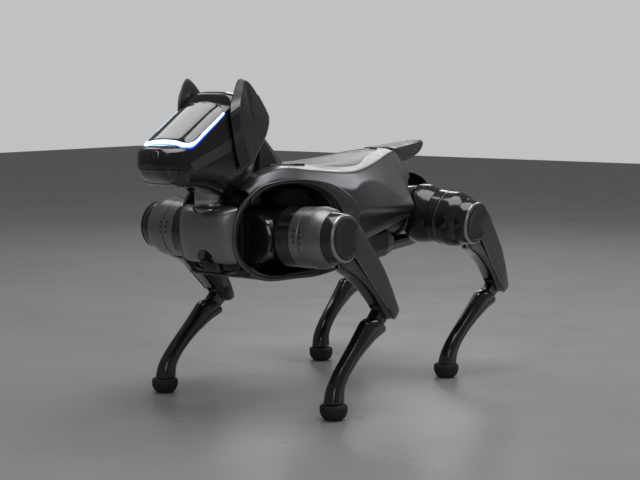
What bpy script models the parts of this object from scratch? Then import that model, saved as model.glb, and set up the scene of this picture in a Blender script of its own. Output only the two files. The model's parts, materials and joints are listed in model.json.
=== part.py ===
"""Quadruped robot dog: torso with head, neck and tail, and four three-joint legs.

Metres, +Z up, +X forward, +Y the dog's left. The origin is on the floor, midway along the body's box.
Each leg is built once in its own local frame and placed four times by parented empties.
"""

import math

import bmesh
import bpy
from mathutils import Matrix, Vector

# ---- driving dimensions -------------------------------------------------------------------------
FLOOR_Z = 0.009  # the floor's height in the design frame
ORIGIN_SHIFT = Vector((-0.0302, 0.0, -FLOOR_Z))  # centres the whole box above the origin
HIP_X = 0.1766  # hip pitch axes, in front of and behind the torso's middle
ABAD_Y = 0.042  # abduction axes, either side of the centre plane
LEG_PLANE = 0.1086  # leg plane, outward from the abduction axis
THIGH_LENGTH = 0.1656
SHANK_LENGTH = 0.1816
FOOT_CENTRE_Z = 0.021
FOOT_RADIUS = 0.0198
STANCE = {  # splay of the leg plane, thigh pitch and shank pitch, in radians
    "front": (math.radians(2.0), math.radians(47.4), math.radians(-43.7)),
    "rear": (math.radians(-6.0), math.radians(48.0), math.radians(-43.6)),
}
HUB_RADIUS = 0.0395  # roll housing about the abduction axis
DRUM_RADIUS = 0.0430  # hip and knee drive housings about the pitch axis
DRUM_SEAM = -0.0267  # where the thigh's half of the drum begins, from the leg plane
THIGH_FACE = 0.0297  # outermost face of the thigh, from the leg plane
GAP = 0.0004  # clearance between neighbouring pieces
SHELL = 0.003  # wall of the painted shells

COLOURS = {
    "gunmetal_paint": ((0.085, 0.088, 0.094), 0.32, 0.75),
    "chest_paint": ((0.16, 0.16, 0.168), 0.4, 0.7),
    "black_gloss": ((0.012, 0.012, 0.014), 0.12, 0.0),
    "black_satin": ((0.02, 0.02, 0.022), 0.38, 0.0),
    "dark_cover": ((0.07, 0.072, 0.076), 0.42, 0.4),
    "neck_metal": ((0.3, 0.3, 0.31), 0.28, 1.0),
    "visor_glass": ((0.02, 0.02, 0.022), 0.06, 0.0),
    "light_guide": ((0.75, 0.86, 1.0), 0.2, 0.0),
    "lens_glass": ((0.01, 0.01, 0.014), 0.04, 0.0),
    "rubber": ((0.015, 0.015, 0.016), 0.75, 0.0),
    "frame_alloy": ((0.45, 0.46, 0.48), 0.35, 1.0),
    "motor_metal": ((0.2, 0.2, 0.21), 0.35, 1.0),
    "battery_case": ((0.03, 0.03, 0.032), 0.5, 0.0),
    "board_green": ((0.02, 0.12, 0.06), 0.5, 0.0),
}


# ---- helpers ------------------------------------------------------------------------------------
def clear_scene():
    for obj in list(bpy.data.objects):
        bpy.data.objects.remove(obj)


def make_collections():
    parts = bpy.data.collections.new("robot_dog")
    cutters = bpy.data.collections.new("cutters")
    for collection in (parts, cutters):
        bpy.context.scene.collection.children.link(collection)
    return parts, cutters


def make_materials():
    materials = {}
    for name, (colour, roughness, metallic) in COLOURS.items():
        material = bpy.data.materials.new(name)
        material.use_nodes = True
        shader = material.node_tree.nodes["Principled BSDF"]
        shader.inputs["Base Color"].default_value = (*colour, 1.0)
        shader.inputs["Roughness"].default_value = roughness
        shader.inputs["Metallic"].default_value = metallic
        materials[name] = material
    return materials


clear_scene()
PARTS, CUTTERS = make_collections()
MATERIALS = make_materials()


def add_object(name, mesh, material, parent=None, location=(0, 0, 0)):
    """Links a finished mesh as a part."""
    obj = bpy.data.objects.new(name, mesh)
    PARTS.objects.link(obj)
    mesh.materials.append(MATERIALS[material])
    mesh.shade_smooth()
    mesh.set_sharp_from_angle(angle=math.radians(35))
    obj.parent = parent
    obj.location = location
    return obj


def mesh_from(name, bm):
    bmesh.ops.recalc_face_normals(bm, faces=bm.faces)
    mesh = bpy.data.meshes.new(name)
    bm.to_mesh(mesh)
    bm.free()
    return mesh


def add_helper(name, mesh, parent=None, location=(0, 0, 0)):
    """Links a mesh that only cuts or joins, and is no part itself."""
    obj = bpy.data.objects.new(name, mesh)
    CUTTERS.objects.link(obj)
    obj.hide_render = True
    obj.display_type = "WIRE"
    obj.parent = parent
    obj.location = location
    return obj


def add_boolean(obj, other, operation):
    modifier = obj.modifiers.new(f"{operation.lower()}_{other.name}", "BOOLEAN")
    modifier.operation = operation
    modifier.object = other


def add_bevel(obj, width, segments=2, angle=35):
    modifier = obj.modifiers.new("rounded_edges", "BEVEL")
    modifier.width = width
    modifier.segments = segments
    modifier.limit_method = "ANGLE"
    modifier.angle_limit = math.radians(angle)


def box_mesh(name, size, centre=(0, 0, 0)):
    bm = bmesh.new()
    bmesh.ops.create_cube(bm, size=1.0)
    bmesh.ops.scale(bm, vec=size, verts=bm.verts)
    bmesh.ops.translate(bm, vec=centre, verts=bm.verts)
    return mesh_from(name, bm)


def rod_mesh(name, axis, radius, start, end, centre=(0, 0, 0), segments=32, end_radius=None):
    """A cylinder or cone along an axis, from start to end on it."""
    bm = bmesh.new()
    end_radius = radius if end_radius is None else end_radius
    bmesh.ops.create_cone(
        bm, cap_ends=True, segments=segments, radius1=radius, radius2=end_radius, depth=end - start
    )
    bmesh.ops.translate(bm, vec=(0, 0, (start + end) / 2), verts=bm.verts)
    turn = {"X": Matrix.Rotation(math.pi / 2, 3, "Y"), "Y": Matrix.Rotation(-math.pi / 2, 3, "X"),
            "Z": Matrix.Identity(3)}[axis]
    bmesh.ops.rotate(bm, matrix=turn, verts=bm.verts)
    bmesh.ops.translate(bm, vec=centre, verts=bm.verts)
    return mesh_from(name, bm)


def loft_mesh(name, rings, closed=True, capped=True):
    """A skin over rings of equal point count. Closed rings with caps make a solid."""
    bm = bmesh.new()
    rows = [[bm.verts.new(point) for point in ring] for ring in rings]
    count = len(rows[0])
    spans = count if closed else count - 1
    for first, second in zip(rows, rows[1:]):
        for i in range(spans):
            j = (i + 1) % count
            bm.faces.new((first[i], first[j], second[j], second[i]))
    if capped:
        bm.faces.new(list(reversed(rows[0])))
        bm.faces.new(rows[-1])
    return mesh_from(name, bm)


def plate_mesh(name, outline, low, high):
    """A flat piece in the XZ plane, from a closed outline, between two Y values."""
    rings = [[(x, y, z) for x, z in outline] for y in (low, high)]
    return loft_mesh(name, rings)


def flipped(mesh, sign):
    """Mirrors a left-hand mesh to the right."""
    if sign < 0:
        mesh.transform(Matrix.Diagonal((1, -1, 1, 1)))
        mesh.flip_normals()
    return mesh


def turned_mesh(name, profile, segments=36):
    """A solid turned about Y from (radius, y) points that start and end on the axis."""
    bm = bmesh.new()
    points = [bm.verts.new((r, y, 0)) for r, y in profile]
    edges = [bm.edges.new(pair) for pair in zip(points, points[1:])]
    bmesh.ops.spin(bm, geom=points + edges, cent=(0, 0, 0), axis=(0, 1, 0), angle=2 * math.pi,
                   steps=segments, use_merge=True)
    bmesh.ops.remove_doubles(bm, verts=bm.verts, dist=1e-6)
    return mesh_from(name, bm)


def smooth_curve(points, steps):
    """A Catmull-Rom curve through points of any dimension, with steps samples a span."""
    padded = [points[0], *points, points[-1]]
    found = []
    for a, b, c, d in zip(padded, padded[1:], padded[2:], padded[3:]):
        for i in range(steps):
            t = i / steps
            found.append(tuple(
                0.5 * (2 * q + (r - p) * t + (2 * p - 5 * q + 4 * r - s) * t * t
                       + (3 * q - p - 3 * r + s) * t ** 3)
                for p, q, r, s in zip(a, b, c, d)
            ))
    found.append(tuple(points[-1]))
    return found


def superellipse(half_a, half_b, power, count, start=0.0, sweep=2 * math.pi):
    """Points (a, b) of a superellipse arc, anticlockwise from start."""
    whole = abs(sweep - 2 * math.pi) < 1e-9
    found = []
    for i in range(count):
        angle = start + sweep * i / (count if whole else count - 1)
        c, s = math.cos(angle), math.sin(angle)
        found.append((
            half_a * math.copysign(abs(c) ** (2 / power), c),
            half_b * math.copysign(abs(s) ** (2 / power), s),
        ))
    return found


def add_empty(name, parent=None, location=(0, 0, 0), rotation=(0, 0, 0), scale=(1, 1, 1)):
    empty = bpy.data.objects.new(name, None)
    PARTS.objects.link(empty)
    empty.parent = parent
    empty.location = location
    empty.rotation_euler = rotation
    empty.scale = scale
    return empty


# ---- torso --------------------------------------------------------------------------------------
# Rows along the body: x, then the left half of the section as (y, z) from the sill up to the centre.
TORSO_ROWS = (
    (0.262, ((0.047, 0.216), (0.050, 0.222), (0.0510, 0.270), (0.0505, 0.290), (0.048, 0.300),
             (0.042, 0.306), (0.020, 0.308), (0.0, 0.308))),
    (0.236, ((0.055, 0.207), (0.0570, 0.213), (0.0580, 0.270), (0.0578, 0.300), (0.0570, 0.320),
             (0.048, 0.329), (0.024, 0.334), (0.0, 0.335))),
    (0.205, ((0.064, 0.199), (0.0655, 0.206), (0.0665, 0.270), (0.0664, 0.316), (0.0650, 0.3400),
             (0.052, 0.348), (0.026, 0.352), (0.0, 0.3525))),
    (0.160, ((0.0765, 0.1995), (0.0780, 0.206), (0.0792, 0.270), (0.0790, 0.316), (0.0770, 0.3435),
             (0.058, 0.357), (0.030, 0.3605), (0.0, 0.361))),
    (0.116, ((0.0885, 0.2010), (0.0900, 0.208), (0.0915, 0.270), (0.0912, 0.302), (0.0895, 0.334),
             (0.072, 0.352), (0.036, 0.3595), (0.0, 0.3600))),
    (0.060, ((0.0985, 0.213), (0.1010, 0.226), (0.1035, 0.278), (0.1085, 0.292), (0.1040, 0.321),
             (0.086, 0.3465), (0.042, 0.3585), (0.0, 0.3592))),
    (0.020, ((0.096, 0.240), (0.0990, 0.252), (0.0985, 0.280), (0.1085, 0.291), (0.1030, 0.324),
             (0.087, 0.3475), (0.042, 0.3585), (0.0, 0.3600))),
    (-0.030, ((0.093, 0.252), (0.0960, 0.262), (0.0950, 0.279), (0.1055, 0.289), (0.0900, 0.326),
              (0.0760, 0.3530), (0.038, 0.3610), (0.0, 0.3640))),
    (-0.080, ((0.089, 0.262), (0.0915, 0.269), (0.0910, 0.278), (0.1000, 0.287), (0.0890, 0.312),
              (0.0600, 0.3600), (0.032, 0.3655), (0.0, 0.3685))),
    (-0.130, ((0.085, 0.271), (0.0870, 0.274), (0.0875, 0.278), (0.0945, 0.285), (0.0880, 0.300),
              (0.0430, 0.3665), (0.023, 0.3705), (0.0, 0.3720))),
    (-0.162, ((0.082, 0.277), (0.0830, 0.279), (0.0840, 0.282), (0.0895, 0.287), (0.0850, 0.297),
              (0.0330, 0.3690), (0.018, 0.3725), (0.0, 0.3735))),
)
# Wheel arch as seen from the side, clockwise from the front.
ARCH = (
    (0.2630, 0.262), (0.2610, 0.283), (0.2543, 0.301), (0.2444, 0.317), (0.2296, 0.3304),
    (0.2110, 0.3385), (0.1870, 0.3412), (0.1590, 0.3398), (0.1330, 0.3344), (0.1102, 0.3255),
    (0.0910, 0.3130), (0.0740, 0.2960), (0.0630, 0.2750), (0.0610, 0.2520), (0.0700, 0.2310),
    (0.0850, 0.2185), (0.1060, 0.2100), (0.1280, 0.2068), (0.1540, 0.2050), (0.1800, 0.2044),
    (0.2080, 0.2050), (0.2286, 0.2094), (0.2434, 0.2191), (0.2547, 0.2368),
)
ARCH_MIDDLE = Vector((0.165, 0.2690))


def hip_height(which):
    """Height of the abduction axis that stands the foot on the floor."""
    splay, thigh_pitch, shank_pitch = STANCE[which]
    drop = THIGH_LENGTH * math.cos(thigh_pitch) + SHANK_LENGTH * math.cos(shank_pitch)
    return FOOT_CENTRE_Z - LEG_PLANE * math.sin(splay) + drop * math.cos(splay)


def rim_y(x):
    """Half width of the vertical plane that holds the arch rim."""
    return 0.1234 - 0.28 * x


def scaled_arch(factor, middle=ARCH_MIDDLE):
    return [(middle.x + (x - middle.x) * factor, middle.y + (z - middle.y) * factor) for x, z in ARCH]


def torso_skin(name, first, last, inset=0.0):
    """The painted skin between two x values, as an open sheet over the top, sill to sill."""
    rows = [(r[0], *[c for point in r[1] for c in point]) for r in TORSO_ROWS]
    rings = []
    for row in smooth_curve(rows, 2):
        x = row[0]
        if not last - 0.001 <= x <= first + 0.001:
            continue
        half = list(zip(row[1::2], row[2::2]))
        half = [(y * (1 - inset), z) for y, z in half]
        rings.append([(x, -y, z) for y, z in half[:-1]] + [(x, y, z) for y, z in half[::-1]])
    return loft_mesh(name, rings, closed=False, capped=False)


def add_wall(obj, thickness=SHELL):
    wall = obj.modifiers.new("wall", "SOLIDIFY")
    wall.thickness = thickness
    wall.offset = -1.0
    return wall


def add_back_shell(frame):
    shell = add_object("back_shell", torso_skin("back_shell", 0.2354, -0.17), "gunmetal_paint", frame)
    add_wall(shell)
    for side, low, high in (("left", 0.030, 0.16), ("right", -0.16, -0.030)):
        cutter = add_helper(f"arch_cut_{side}", plate_mesh(f"arch_cut_{side}", ARCH, low, high), frame)
        add_boolean(shell, cutter, "DIFFERENCE")
    opening = box_mesh("collar_opening", (0.1550, 0.0670, 0.08), (0.2035, 0, 0.345))
    add_boolean(shell, add_helper("collar_opening", opening, frame), "DIFFERENCE")
    button = rod_mesh("button_hole", "Z", 0.0064, 0.35, 0.39, (-0.1480, 0, 0), 24)
    add_boolean(shell, add_helper("button_hole", button, frame), "DIFFERENCE")
    add_hip_relief(shell, frame)
    inlay = loft_mesh("inlay_seat", [inlay_ring(1.012, z) for z in (0.33, 0.39)])
    add_boolean(shell, add_helper("inlay_seat", inlay, frame), "DIFFERENCE")


def add_hip_relief(shell, frame):
    """Clears the lower rear corners of the shell for the rear hips at three roll angles."""
    for side, sign in (("left", 1), ("right", -1)):
        for i, roll in enumerate((-20, -4, 14)):
            name = f"hip_relief_{side}_{i}"
            rod = rod_mesh(name, "Y", 0.0520, 0.002, 0.075, segments=40)
            turn = Matrix.Rotation(math.radians(sign * roll), 4, "X")
            place = Matrix.Translation((-HIP_X, sign * ABAD_Y, hip_height("rear")))
            rod = flipped(rod, sign)
            rod.transform(place @ turn)
            add_boolean(shell, add_helper(name, rod, frame), "DIFFERENCE")


def inlay_ring(scale, z):
    """The long oval on the back, wider ahead of its middle."""
    ring = []
    for a, b in superellipse(0.100 * scale, 0.040 * scale, 2.2, 36):
        ring.append((-0.035 + a, b * (1.0 + 2.2 * a), z))
    return ring


def add_back_inlay(frame):
    skin = torso_skin("back_inlay", 0.12, -0.17)
    inlay = add_object("back_inlay", skin, "black_satin", frame)
    add_wall(inlay, SHELL + 0.0008)
    keep = loft_mesh("inlay_keep", [inlay_ring(1.0, z) for z in (0.33, 0.39)])
    add_boolean(inlay, add_helper("inlay_keep", keep, frame), "INTERSECT")


def chest_ring(z, front, half, back=0.2362):
    """An open plan curve of the chest, from its right edge round the front to its left edge."""
    found = []
    for a, b in superellipse(front - back, half, 2.7, 17, -math.pi / 2, math.pi):
        found.append((back + a, b, z))
    return found


CHEST_ROWS = (  # z, foremost x, half width
    (0.2275, 0.2660, 0.0480),
    (0.2300, 0.2715, 0.0505),
    (0.2370, 0.2765, 0.0520),
    (0.2500, 0.2815, 0.0528),
    (0.2700, 0.2855, 0.0528),
    (0.2850, 0.2862, 0.0528),
    (0.2950, 0.2838, 0.0527),
    (0.3015, 0.2780, 0.0525),
    (0.3055, 0.2690, 0.0520),
    (0.3075, 0.2590, 0.0510),
    (0.3085, 0.2470, 0.0490),
)


def add_chest_shell(frame):
    rings = [chest_ring(*row) for row in CHEST_ROWS]
    chest = add_object("chest_shell", loft_mesh("chest_shell", rings, closed=False, capped=False),
                       "chest_paint", frame)
    add_wall(chest)
    for side, low, high in (("left", 0.030, 0.16), ("right", -0.16, -0.030)):
        cutter = add_helper(f"chest_cut_{side}", plate_mesh(f"chest_cut_{side}", ARCH, low, high), frame)
        add_boolean(chest, cutter, "DIFFERENCE")
    neck = rod_mesh("neck_hole", "Z", 0.0220, 0.28, 0.36, (NECK_X, 0, 0))
    add_boolean(chest, add_helper("neck_hole", neck, frame), "DIFFERENCE")
    notch = rod_mesh("sensor_hole", "X", 0.0125, 0.24, 0.30, (0, 0.006, 0.2360))
    add_boolean(chest, add_helper("sensor_hole", notch, frame), "DIFFERENCE")


def add_chest_sensor(frame):
    add_object("chest_sensor", rod_mesh("chest_sensor", "X", 0.0120, 0.250, 0.2700, (0, 0.006, 0.2360)),
               "lens_glass", frame)


def add_arch_liner(frame, side, sign):
    """A shallow dish inside the arch, open in the middle for the hip."""
    def ring(factor, depth):
        points = scaled_arch(factor)
        return [(x, sign * (rim_y(x) - depth), z) for x, z in points]
    rings = [ring(0.985, 0.0042), ring(0.950, 0.0100), ring(0.91, 0.0145)]
    liner = add_object(f"arch_liner_{side}", loft_mesh(f"arch_liner_{side}", rings, capped=False),
                       "black_gloss", frame)
    wall = add_wall(liner, 0.0015)
    wall.offset = 0.0


def add_belly_pan(frame):
    rows = (  # x, half width, bottom, top
        (0.2330, 0.0490, 0.2060, 0.2090),
        (0.2050, 0.0580, 0.2000, 0.2030),
        (0.1600, 0.0700, 0.1990, 0.2020),
        (0.1160, 0.0820, 0.2000, 0.2030),
        (0.0700, 0.0900, 0.2050, 0.2100),
        (0.0480, 0.0860, 0.2060, 0.2250),
        (0.0300, 0.0880, 0.2060, 0.2370),
        (-0.0200, 0.0870, 0.2060, 0.2450),
        (-0.0700, 0.0820, 0.2070, 0.2500),
        (-0.1100, 0.0660, 0.2080, 0.2360),
        (-0.1260, 0.0540, 0.2090, 0.2270),
        (-0.1900, 0.0420, 0.2100, 0.2280),
        (-0.2280, 0.0340, 0.2105, 0.2280),
    )
    rings = []
    for x, half, low, high in rows:
        edge = min(0.016, (high - low) * 0.7)
        thick = 0.0022
        outer = [(half - edge, low), (half - 0.3 * edge, low + 0.3 * edge), (half, low + edge), (half, high)]
        shoulder = max(low + edge, low + thick)
        wall = [(half - thick, high), (half - thick, shoulder), (half - edge, low + thick)]
        left = outer + wall
        rings.append([(x, y, z) for y, z in left] + [(x, -y, z) for y, z in left[::-1]])
    add_object("belly_pan", loft_mesh("belly_pan", rings), "black_satin", frame)


def union_of(name, meshes, material, frame):
    """One part made of several primitive meshes joined into one body."""
    base = add_object(name, meshes[0], material, frame)
    for i, mesh in enumerate(meshes[1:]):
        add_boolean(base, add_helper(f"{name}_{i}", mesh, frame), "UNION")
    return base


def add_chassis(frame):
    beams = [
        ("floor_beam", (0.462, 0.036, 0.0050), (0.0010, 0, 0.2160)),
        ("top_beam", (0.414, 0.036, 0.0080), (-0.0220, 0, 0.3260)),
        ("neck_riser", (0.0190, 0.036, 0.0240), (0.1750, 0, 0.3160)),
        ("neck_beam", (0.0680, 0.036, 0.0060), (0.1990, 0, 0.3070)),
        ("front_frame", (0.0080, 0.070, 0.0940), (0.2290, 0, 0.2625)),
        ("middle_frame", (0.0060, 0.150, 0.1085), (0.0530, 0, 0.2700)),
        ("waist_frame", (0.0060, 0.140, 0.1085), (-0.0542, 0, 0.2700)),
        ("tail_frame", (0.0060, 0.040, 0.1085), (-0.2275, 0, 0.2700)),
        ("tail_post", (0.0200, 0.020, 0.0185), (-0.1950, 0, 0.3378)),
    ]
    meshes = [box_mesh(name, size, centre) for name, size, centre in beams]
    union_of("chassis", meshes, "frame_alloy", frame)


def add_rear_cap(frame):
    rings = []
    for x, half, low, high in ((-0.2320, 0.056, 0.228, 0.331), (-0.2360, 0.055, 0.230, 0.330),
                               (-0.2400, 0.049, 0.237, 0.324), (-0.2425, 0.038, 0.248, 0.313)):
        middle = (low + high) / 2
        rings.append([(x, a, middle + b) for a, b in superellipse(half, (high - low) / 2, 2.8, 32)])
    add_object("rear_cap", loft_mesh("rear_cap", rings), "black_gloss", frame)


def add_tail_fin(frame):
    rows = (  # x, half width, bottom, top
        (-0.1640, 0.0300, 0.3580, 0.3745),
        (-0.1900, 0.0265, 0.3500, 0.3765),
        (-0.2250, 0.0215, 0.3500, 0.3790),
        (-0.2550, 0.0165, 0.3555, 0.3815),
        (-0.2760, 0.0110, 0.3620, 0.3825),
        (-0.2870, 0.0060, 0.3675, 0.3770),
    )
    rings = []
    for x, half, low, high in smooth_curve(rows, 2):
        rings.append([(x, half, high - 0.002), (x, half * 0.6, high), (x, -half * 0.6, high),
                      (x, -half, high - 0.002), (x, -half * 0.45, low), (x, half * 0.45, low)])
    add_object("tail_fin", loft_mesh("tail_fin", rings), "black_satin", frame)


def add_internals(frame):
    battery = add_object("battery_pack", box_mesh("battery_pack", (0.098, 0.120, 0.060),
                                                  (-0.0006, 0, 0.2495)), "battery_case", frame)
    add_bevel(battery, 0.004)
    board = box_mesh("control_board", (0.096, 0.100, 0.0020), (-0.0006, 0, 0.3000))
    add_object("control_board", board, "board_green", frame)
    button = rod_mesh("power_button", "Z", 0.0060, -0.0040, 0.0012, segments=24)
    add_object("power_button", button, "neck_metal", frame, (-0.1480, 0, 0.3738))


# ---- neck and head ------------------------------------------------------------------------------
NECK_X = 0.258
HEAD_ROWS = (  # x, bottom, top, half width
    (0.1900, 0.3600, 0.4300, 0.0250),
    (0.1935, 0.3480, 0.4420, 0.0320),
    (0.2020, 0.3360, 0.4530, 0.0375),
    (0.2200, 0.3250, 0.4635, 0.0415),
    (0.2420, 0.3210, 0.4670, 0.0432),
    (0.2600, 0.3205, 0.4625, 0.0438),
    (0.2700, 0.3210, 0.4550, 0.0436),
    (0.2900, 0.3230, 0.4400, 0.0428),
    (0.3150, 0.3270, 0.4240, 0.0415),
    (0.3400, 0.3355, 0.4085, 0.0403),
    (0.3520, 0.3395, 0.3995, 0.0392),
    (0.3600, 0.3430, 0.3965, 0.0365),
    (0.3670, 0.3470, 0.3955, 0.0330),
    (0.3730, 0.3515, 0.3942, 0.0290),
    (0.3775, 0.3560, 0.3922, 0.0245),
    (0.3810, 0.3610, 0.3892, 0.0195),
    (0.3835, 0.3665, 0.3850, 0.0140),
    (0.3850, 0.3725, 0.3795, 0.0070),
)
SLOPE_FOOT = Vector((0.3500, 0.0, 0.4010))  # front edge of the visor, on the centre line
SLOPE_UP = Vector((-0.853, 0.0, 0.522))
SLOPE_OUT = Vector((0.522, 0.0, 0.853))


def head_section(x, low, high, half, grow=0.0):
    """Rounded section with a flat-ish crown and a narrower chin."""
    middle, reach = (low + high) / 2, (high - low) / 2 + grow
    ring = []
    for a, b in superellipse(half + grow, reach, 3.2, 32):
        narrowing = 1.0 - 0.16 * max(0.0, -b / reach)
        ring.append((x, a * narrowing, middle + b))
    return ring


def head_loft(name, grow=0.0, first=0.0, last=1.0, steps=2):
    rows = [row for row in smooth_curve(HEAD_ROWS, steps) if first <= row[0] <= last]
    return loft_mesh(name, [head_section(*row, grow=grow) for row in rows])


def slope_prism(name, outline, low, high):
    """A prism on the visor's slope from an outline of (distance up the slope, y)."""
    rings = []
    for lift in (low, high):
        rings.append([tuple(SLOPE_FOOT + SLOPE_UP * u + Vector((0, y, 0)) + SLOPE_OUT * lift)
                      for u, y in outline])
    return loft_mesh(name, rings)


def visor_outline(grow):
    """Rounded at the front corners, widening a little towards the brow."""
    length = 0.0950
    pts = [(length + grow, 0.0345 + grow), (0.0160, 0.0325 + grow)]
    for i in range(1, 6):
        angle = math.pi / 2 * i / 5
        pts.append((0.0160 - (0.0160 + grow) * math.sin(angle),
                    0.0175 + (0.0150 + grow) * math.cos(angle)))
    return pts + [(u, -y) for u, y in pts[::-1]]


def add_head(frame):
    head = add_object("head_shell", head_loft("head_shell"), "black_gloss", frame)
    cutters = {
        "head_cavity": head_loft("head_cavity", -0.0045, 0.200, 0.352, 1),
        "neck_socket": rod_mesh("neck_socket", "Z", 0.0220, 0.30, 0.36, (NECK_X, 0, 0)),
        "visor_seat": slope_prism("visor_seat", visor_outline(0.0042), -0.0030, 0.03),
        "nose_seat": box_mesh("nose_seat", (0.05, 0.0800, 0.0256), (0.3950, 0, 0.3852)),
        "window_seat": box_mesh("window_seat", (0.05, 0.0800, 0.0146), (0.3920, 0, 0.3577)),
    }
    for name, mesh in cutters.items():
        add_boolean(head, add_helper(name, mesh, frame), "DIFFERENCE")


def add_face(frame):
    visor = add_object("face_visor", slope_prism("face_visor", visor_outline(0.0), -0.0026, 0.0012),
                       "visor_glass", frame)
    add_bevel(visor, 0.0008)
    outer, inner = visor_outline(0.0038), visor_outline(0.0004)
    rings = []
    for lift in (-0.0026, 0.0014):
        rings.append([tuple(SLOPE_FOOT + SLOPE_UP * u + Vector((0, y, 0)) + SLOPE_OUT * lift)
                      for u, y in outer + inner[::-1]])
    add_object("light_strip", loft_mesh("light_strip", rings), "light_guide", frame)
    pieces = (
        ("nose_module", (0.05, 0.0800, 0.0248), (0.3954, 0, 0.3852), "black_gloss"),
        ("depth_window", (0.05, 0.0800, 0.0138), (0.3924, 0, 0.3577), "visor_glass"),
    )
    for name, size, centre, material in pieces:
        piece = add_object(name, head_loft(name, -0.0002), material, frame)
        keep = add_helper(f"{name}_keep", box_mesh(f"{name}_keep", size, centre), frame)
        add_boolean(piece, keep, "INTERSECT")
    nose = PARTS.objects["nose_module"]
    seat = box_mesh("lens_seat", (0.0300, 0.0130, 0.0110), (0.3912, 0.0125, 0.3835))
    add_boolean(nose, add_helper("lens_seat", seat, frame), "DIFFERENCE")
    add_object("camera_lens", rod_mesh("camera_lens", "X", 0.0048, 0.3766, 0.3822, (0, 0.0125, 0.3835),
                                       end_radius=0.0042, segments=28), "lens_glass", frame)


EAR_OUTLINE = (  # x, z seen from the side, from the tip down the front edge and up the back
    (0.2405, 0.4850), (0.2500, 0.4800), (0.2600, 0.4710), (0.2690, 0.4610), (0.2725, 0.4540),
    (0.2710, 0.4400), (0.2640, 0.4230), (0.2560, 0.4020), (0.2490, 0.3800), (0.2430, 0.3640),
    (0.2370, 0.3540), (0.2290, 0.3590), (0.2180, 0.3700), (0.2050, 0.3850), (0.1920, 0.4020),
    (0.1865, 0.4150), (0.1870, 0.4300), (0.1940, 0.4450), (0.2070, 0.4620), (0.2220, 0.4770),
    (0.2320, 0.4840),
)


def ear_ring(factor, y, sign, middle=(0.230, 0.425)):
    return [(middle[0] + (x - middle[0]) * factor, sign * y, middle[1] + (z - middle[1]) * factor)
            for x, z in EAR_OUTLINE]


def add_ear(frame, side, sign):
    rings = [ear_ring(0.30, 0.0500, sign), ear_ring(0.80, 0.0478, sign), ear_ring(0.95, 0.0456, sign),
             ear_ring(0.99, 0.0458, sign), ear_ring(1.0, 0.0470, sign), ear_ring(0.93, 0.0515, sign),
             ear_ring(0.78, 0.0550, sign), ear_ring(0.30, 0.0578, sign)]
    add_object(f"ear_{side}", loft_mesh(f"ear_{side}", rings), "dark_cover", frame)


def add_neck(frame):
    tube = rod_mesh("neck_tube", "Z", 0.0215, 0.2900, 0.3400, (NECK_X, 0, 0), 48)
    add_object("neck_tube", tube, "neck_metal", frame)
    outline = ((0.2340, 0.3107), (0.2340, 0.3185), (0.2180, 0.3215), (0.2000, 0.3320), (0.1885, 0.3450),
               (0.1855, 0.3600), (0.1855, 0.3960), (0.1760, 0.3990), (0.1360, 0.3560), (0.1360, 0.3312),
               (0.1880, 0.3312), (0.1900, 0.3107))
    shroud = add_object("neck_shroud", plate_mesh("neck_shroud", outline, -0.0320, 0.0320),
                        "black_satin", frame)
    add_bevel(shroud, 0.0015)
    strap = plate_mesh("neck_strap", ((0.1762, 0.3998), (0.1730, 0.4030), (0.1285, 0.3640),
                                      (0.1300, 0.3575), (0.1352, 0.3560)), -0.0285, 0.0285)
    strap_object = add_object("neck_strap", strap, "neck_metal", frame)
    add_bevel(strap_object, 0.0008)


# ---- legs ---------------------------------------------------------------------------------------
def add_abad_motor(frame, corner, sign, hip_x, hip_z, outward):
    start, end = sorted((hip_x - outward * 0.1190, hip_x - outward * 0.0505))
    motor = rod_mesh(f"abad_motor_{corner}", "X", 0.0350, start, end, (0, sign * ABAD_Y, hip_z), 40)
    add_object(f"abad_motor_{corner}", motor, "motor_metal", frame)


def add_hip_housing(roll, corner, sign, outward):
    """The roll housing along X with the hip drive's half of the drum across it."""
    name = f"hip_housing_{corner}"
    hub_start, hub_end = sorted((-outward * 0.0480, outward * 0.0470))
    hub = rod_mesh(name, "X", HUB_RADIUS, hub_start, hub_end, segments=40)
    housing = add_object(name, flipped(hub, sign), "black_gloss", roll)
    seam = LEG_PLANE + DRUM_SEAM - GAP / 2
    if outward > 0:
        profile = ((0.0, 0.020), (0.0385, 0.020), (0.0395, 0.0430), (0.0450, 0.0440), (0.0470, 0.0480),
                   (DRUM_RADIUS, seam), (0.0, seam))
    else:
        profile = ((0.0, 0.020), (0.0490, 0.030), (0.0490, 0.0440), (0.0475, 0.0540), (DRUM_RADIUS, seam),
                   (0.0, seam))
    drum = turned_mesh(f"{name}_drum", profile)
    add_boolean(housing, add_helper(drum.name, flipped(drum, sign), roll), "UNION")


THIGH_EDGES = (  # distance down the thigh, rear x, front x, inner y, outer y
    (0.0000, -0.0300, 0.0280, 0.0160, 0.0255),
    (0.0280, -0.0370, 0.0290, 0.0060, 0.0255),
    (0.0480, -0.0385, 0.0245, -0.0150, 0.0250),
    (0.0700, -0.0365, 0.0175, -0.0160, 0.0240),
    (0.1096, -0.0320, 0.0115, -0.0160, 0.0220),
    (0.1428, -0.0245, 0.0112, -0.0155, 0.0195),
    (0.1600, -0.0205, 0.0130, -0.0150, 0.0178),
    (0.1750, -0.0165, 0.0130, -0.0144, 0.0165),
    (0.1850, -0.0125, 0.0070, -0.0136, 0.0150),
    (0.1910, -0.0080, -0.0020, -0.0110, 0.0120),
)
COVER_FRONT = 0.0070  # front boundary of the outer cover
COVER_CHORD = 0.0220  # distance from the hip axis of the line between disc and cover


def thigh_section(row, grow=0.0, count=20):
    along, rear, front, inner, outer = row
    middle_x, middle_y = (rear + front) / 2, (inner + outer) / 2
    half_x, half_y = (front - rear) / 2 + grow, (outer - inner) / 2 + grow
    return [(middle_x + a, middle_y + b, -along) for a, b in superellipse(half_x, half_y, 3.0, count)]


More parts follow.
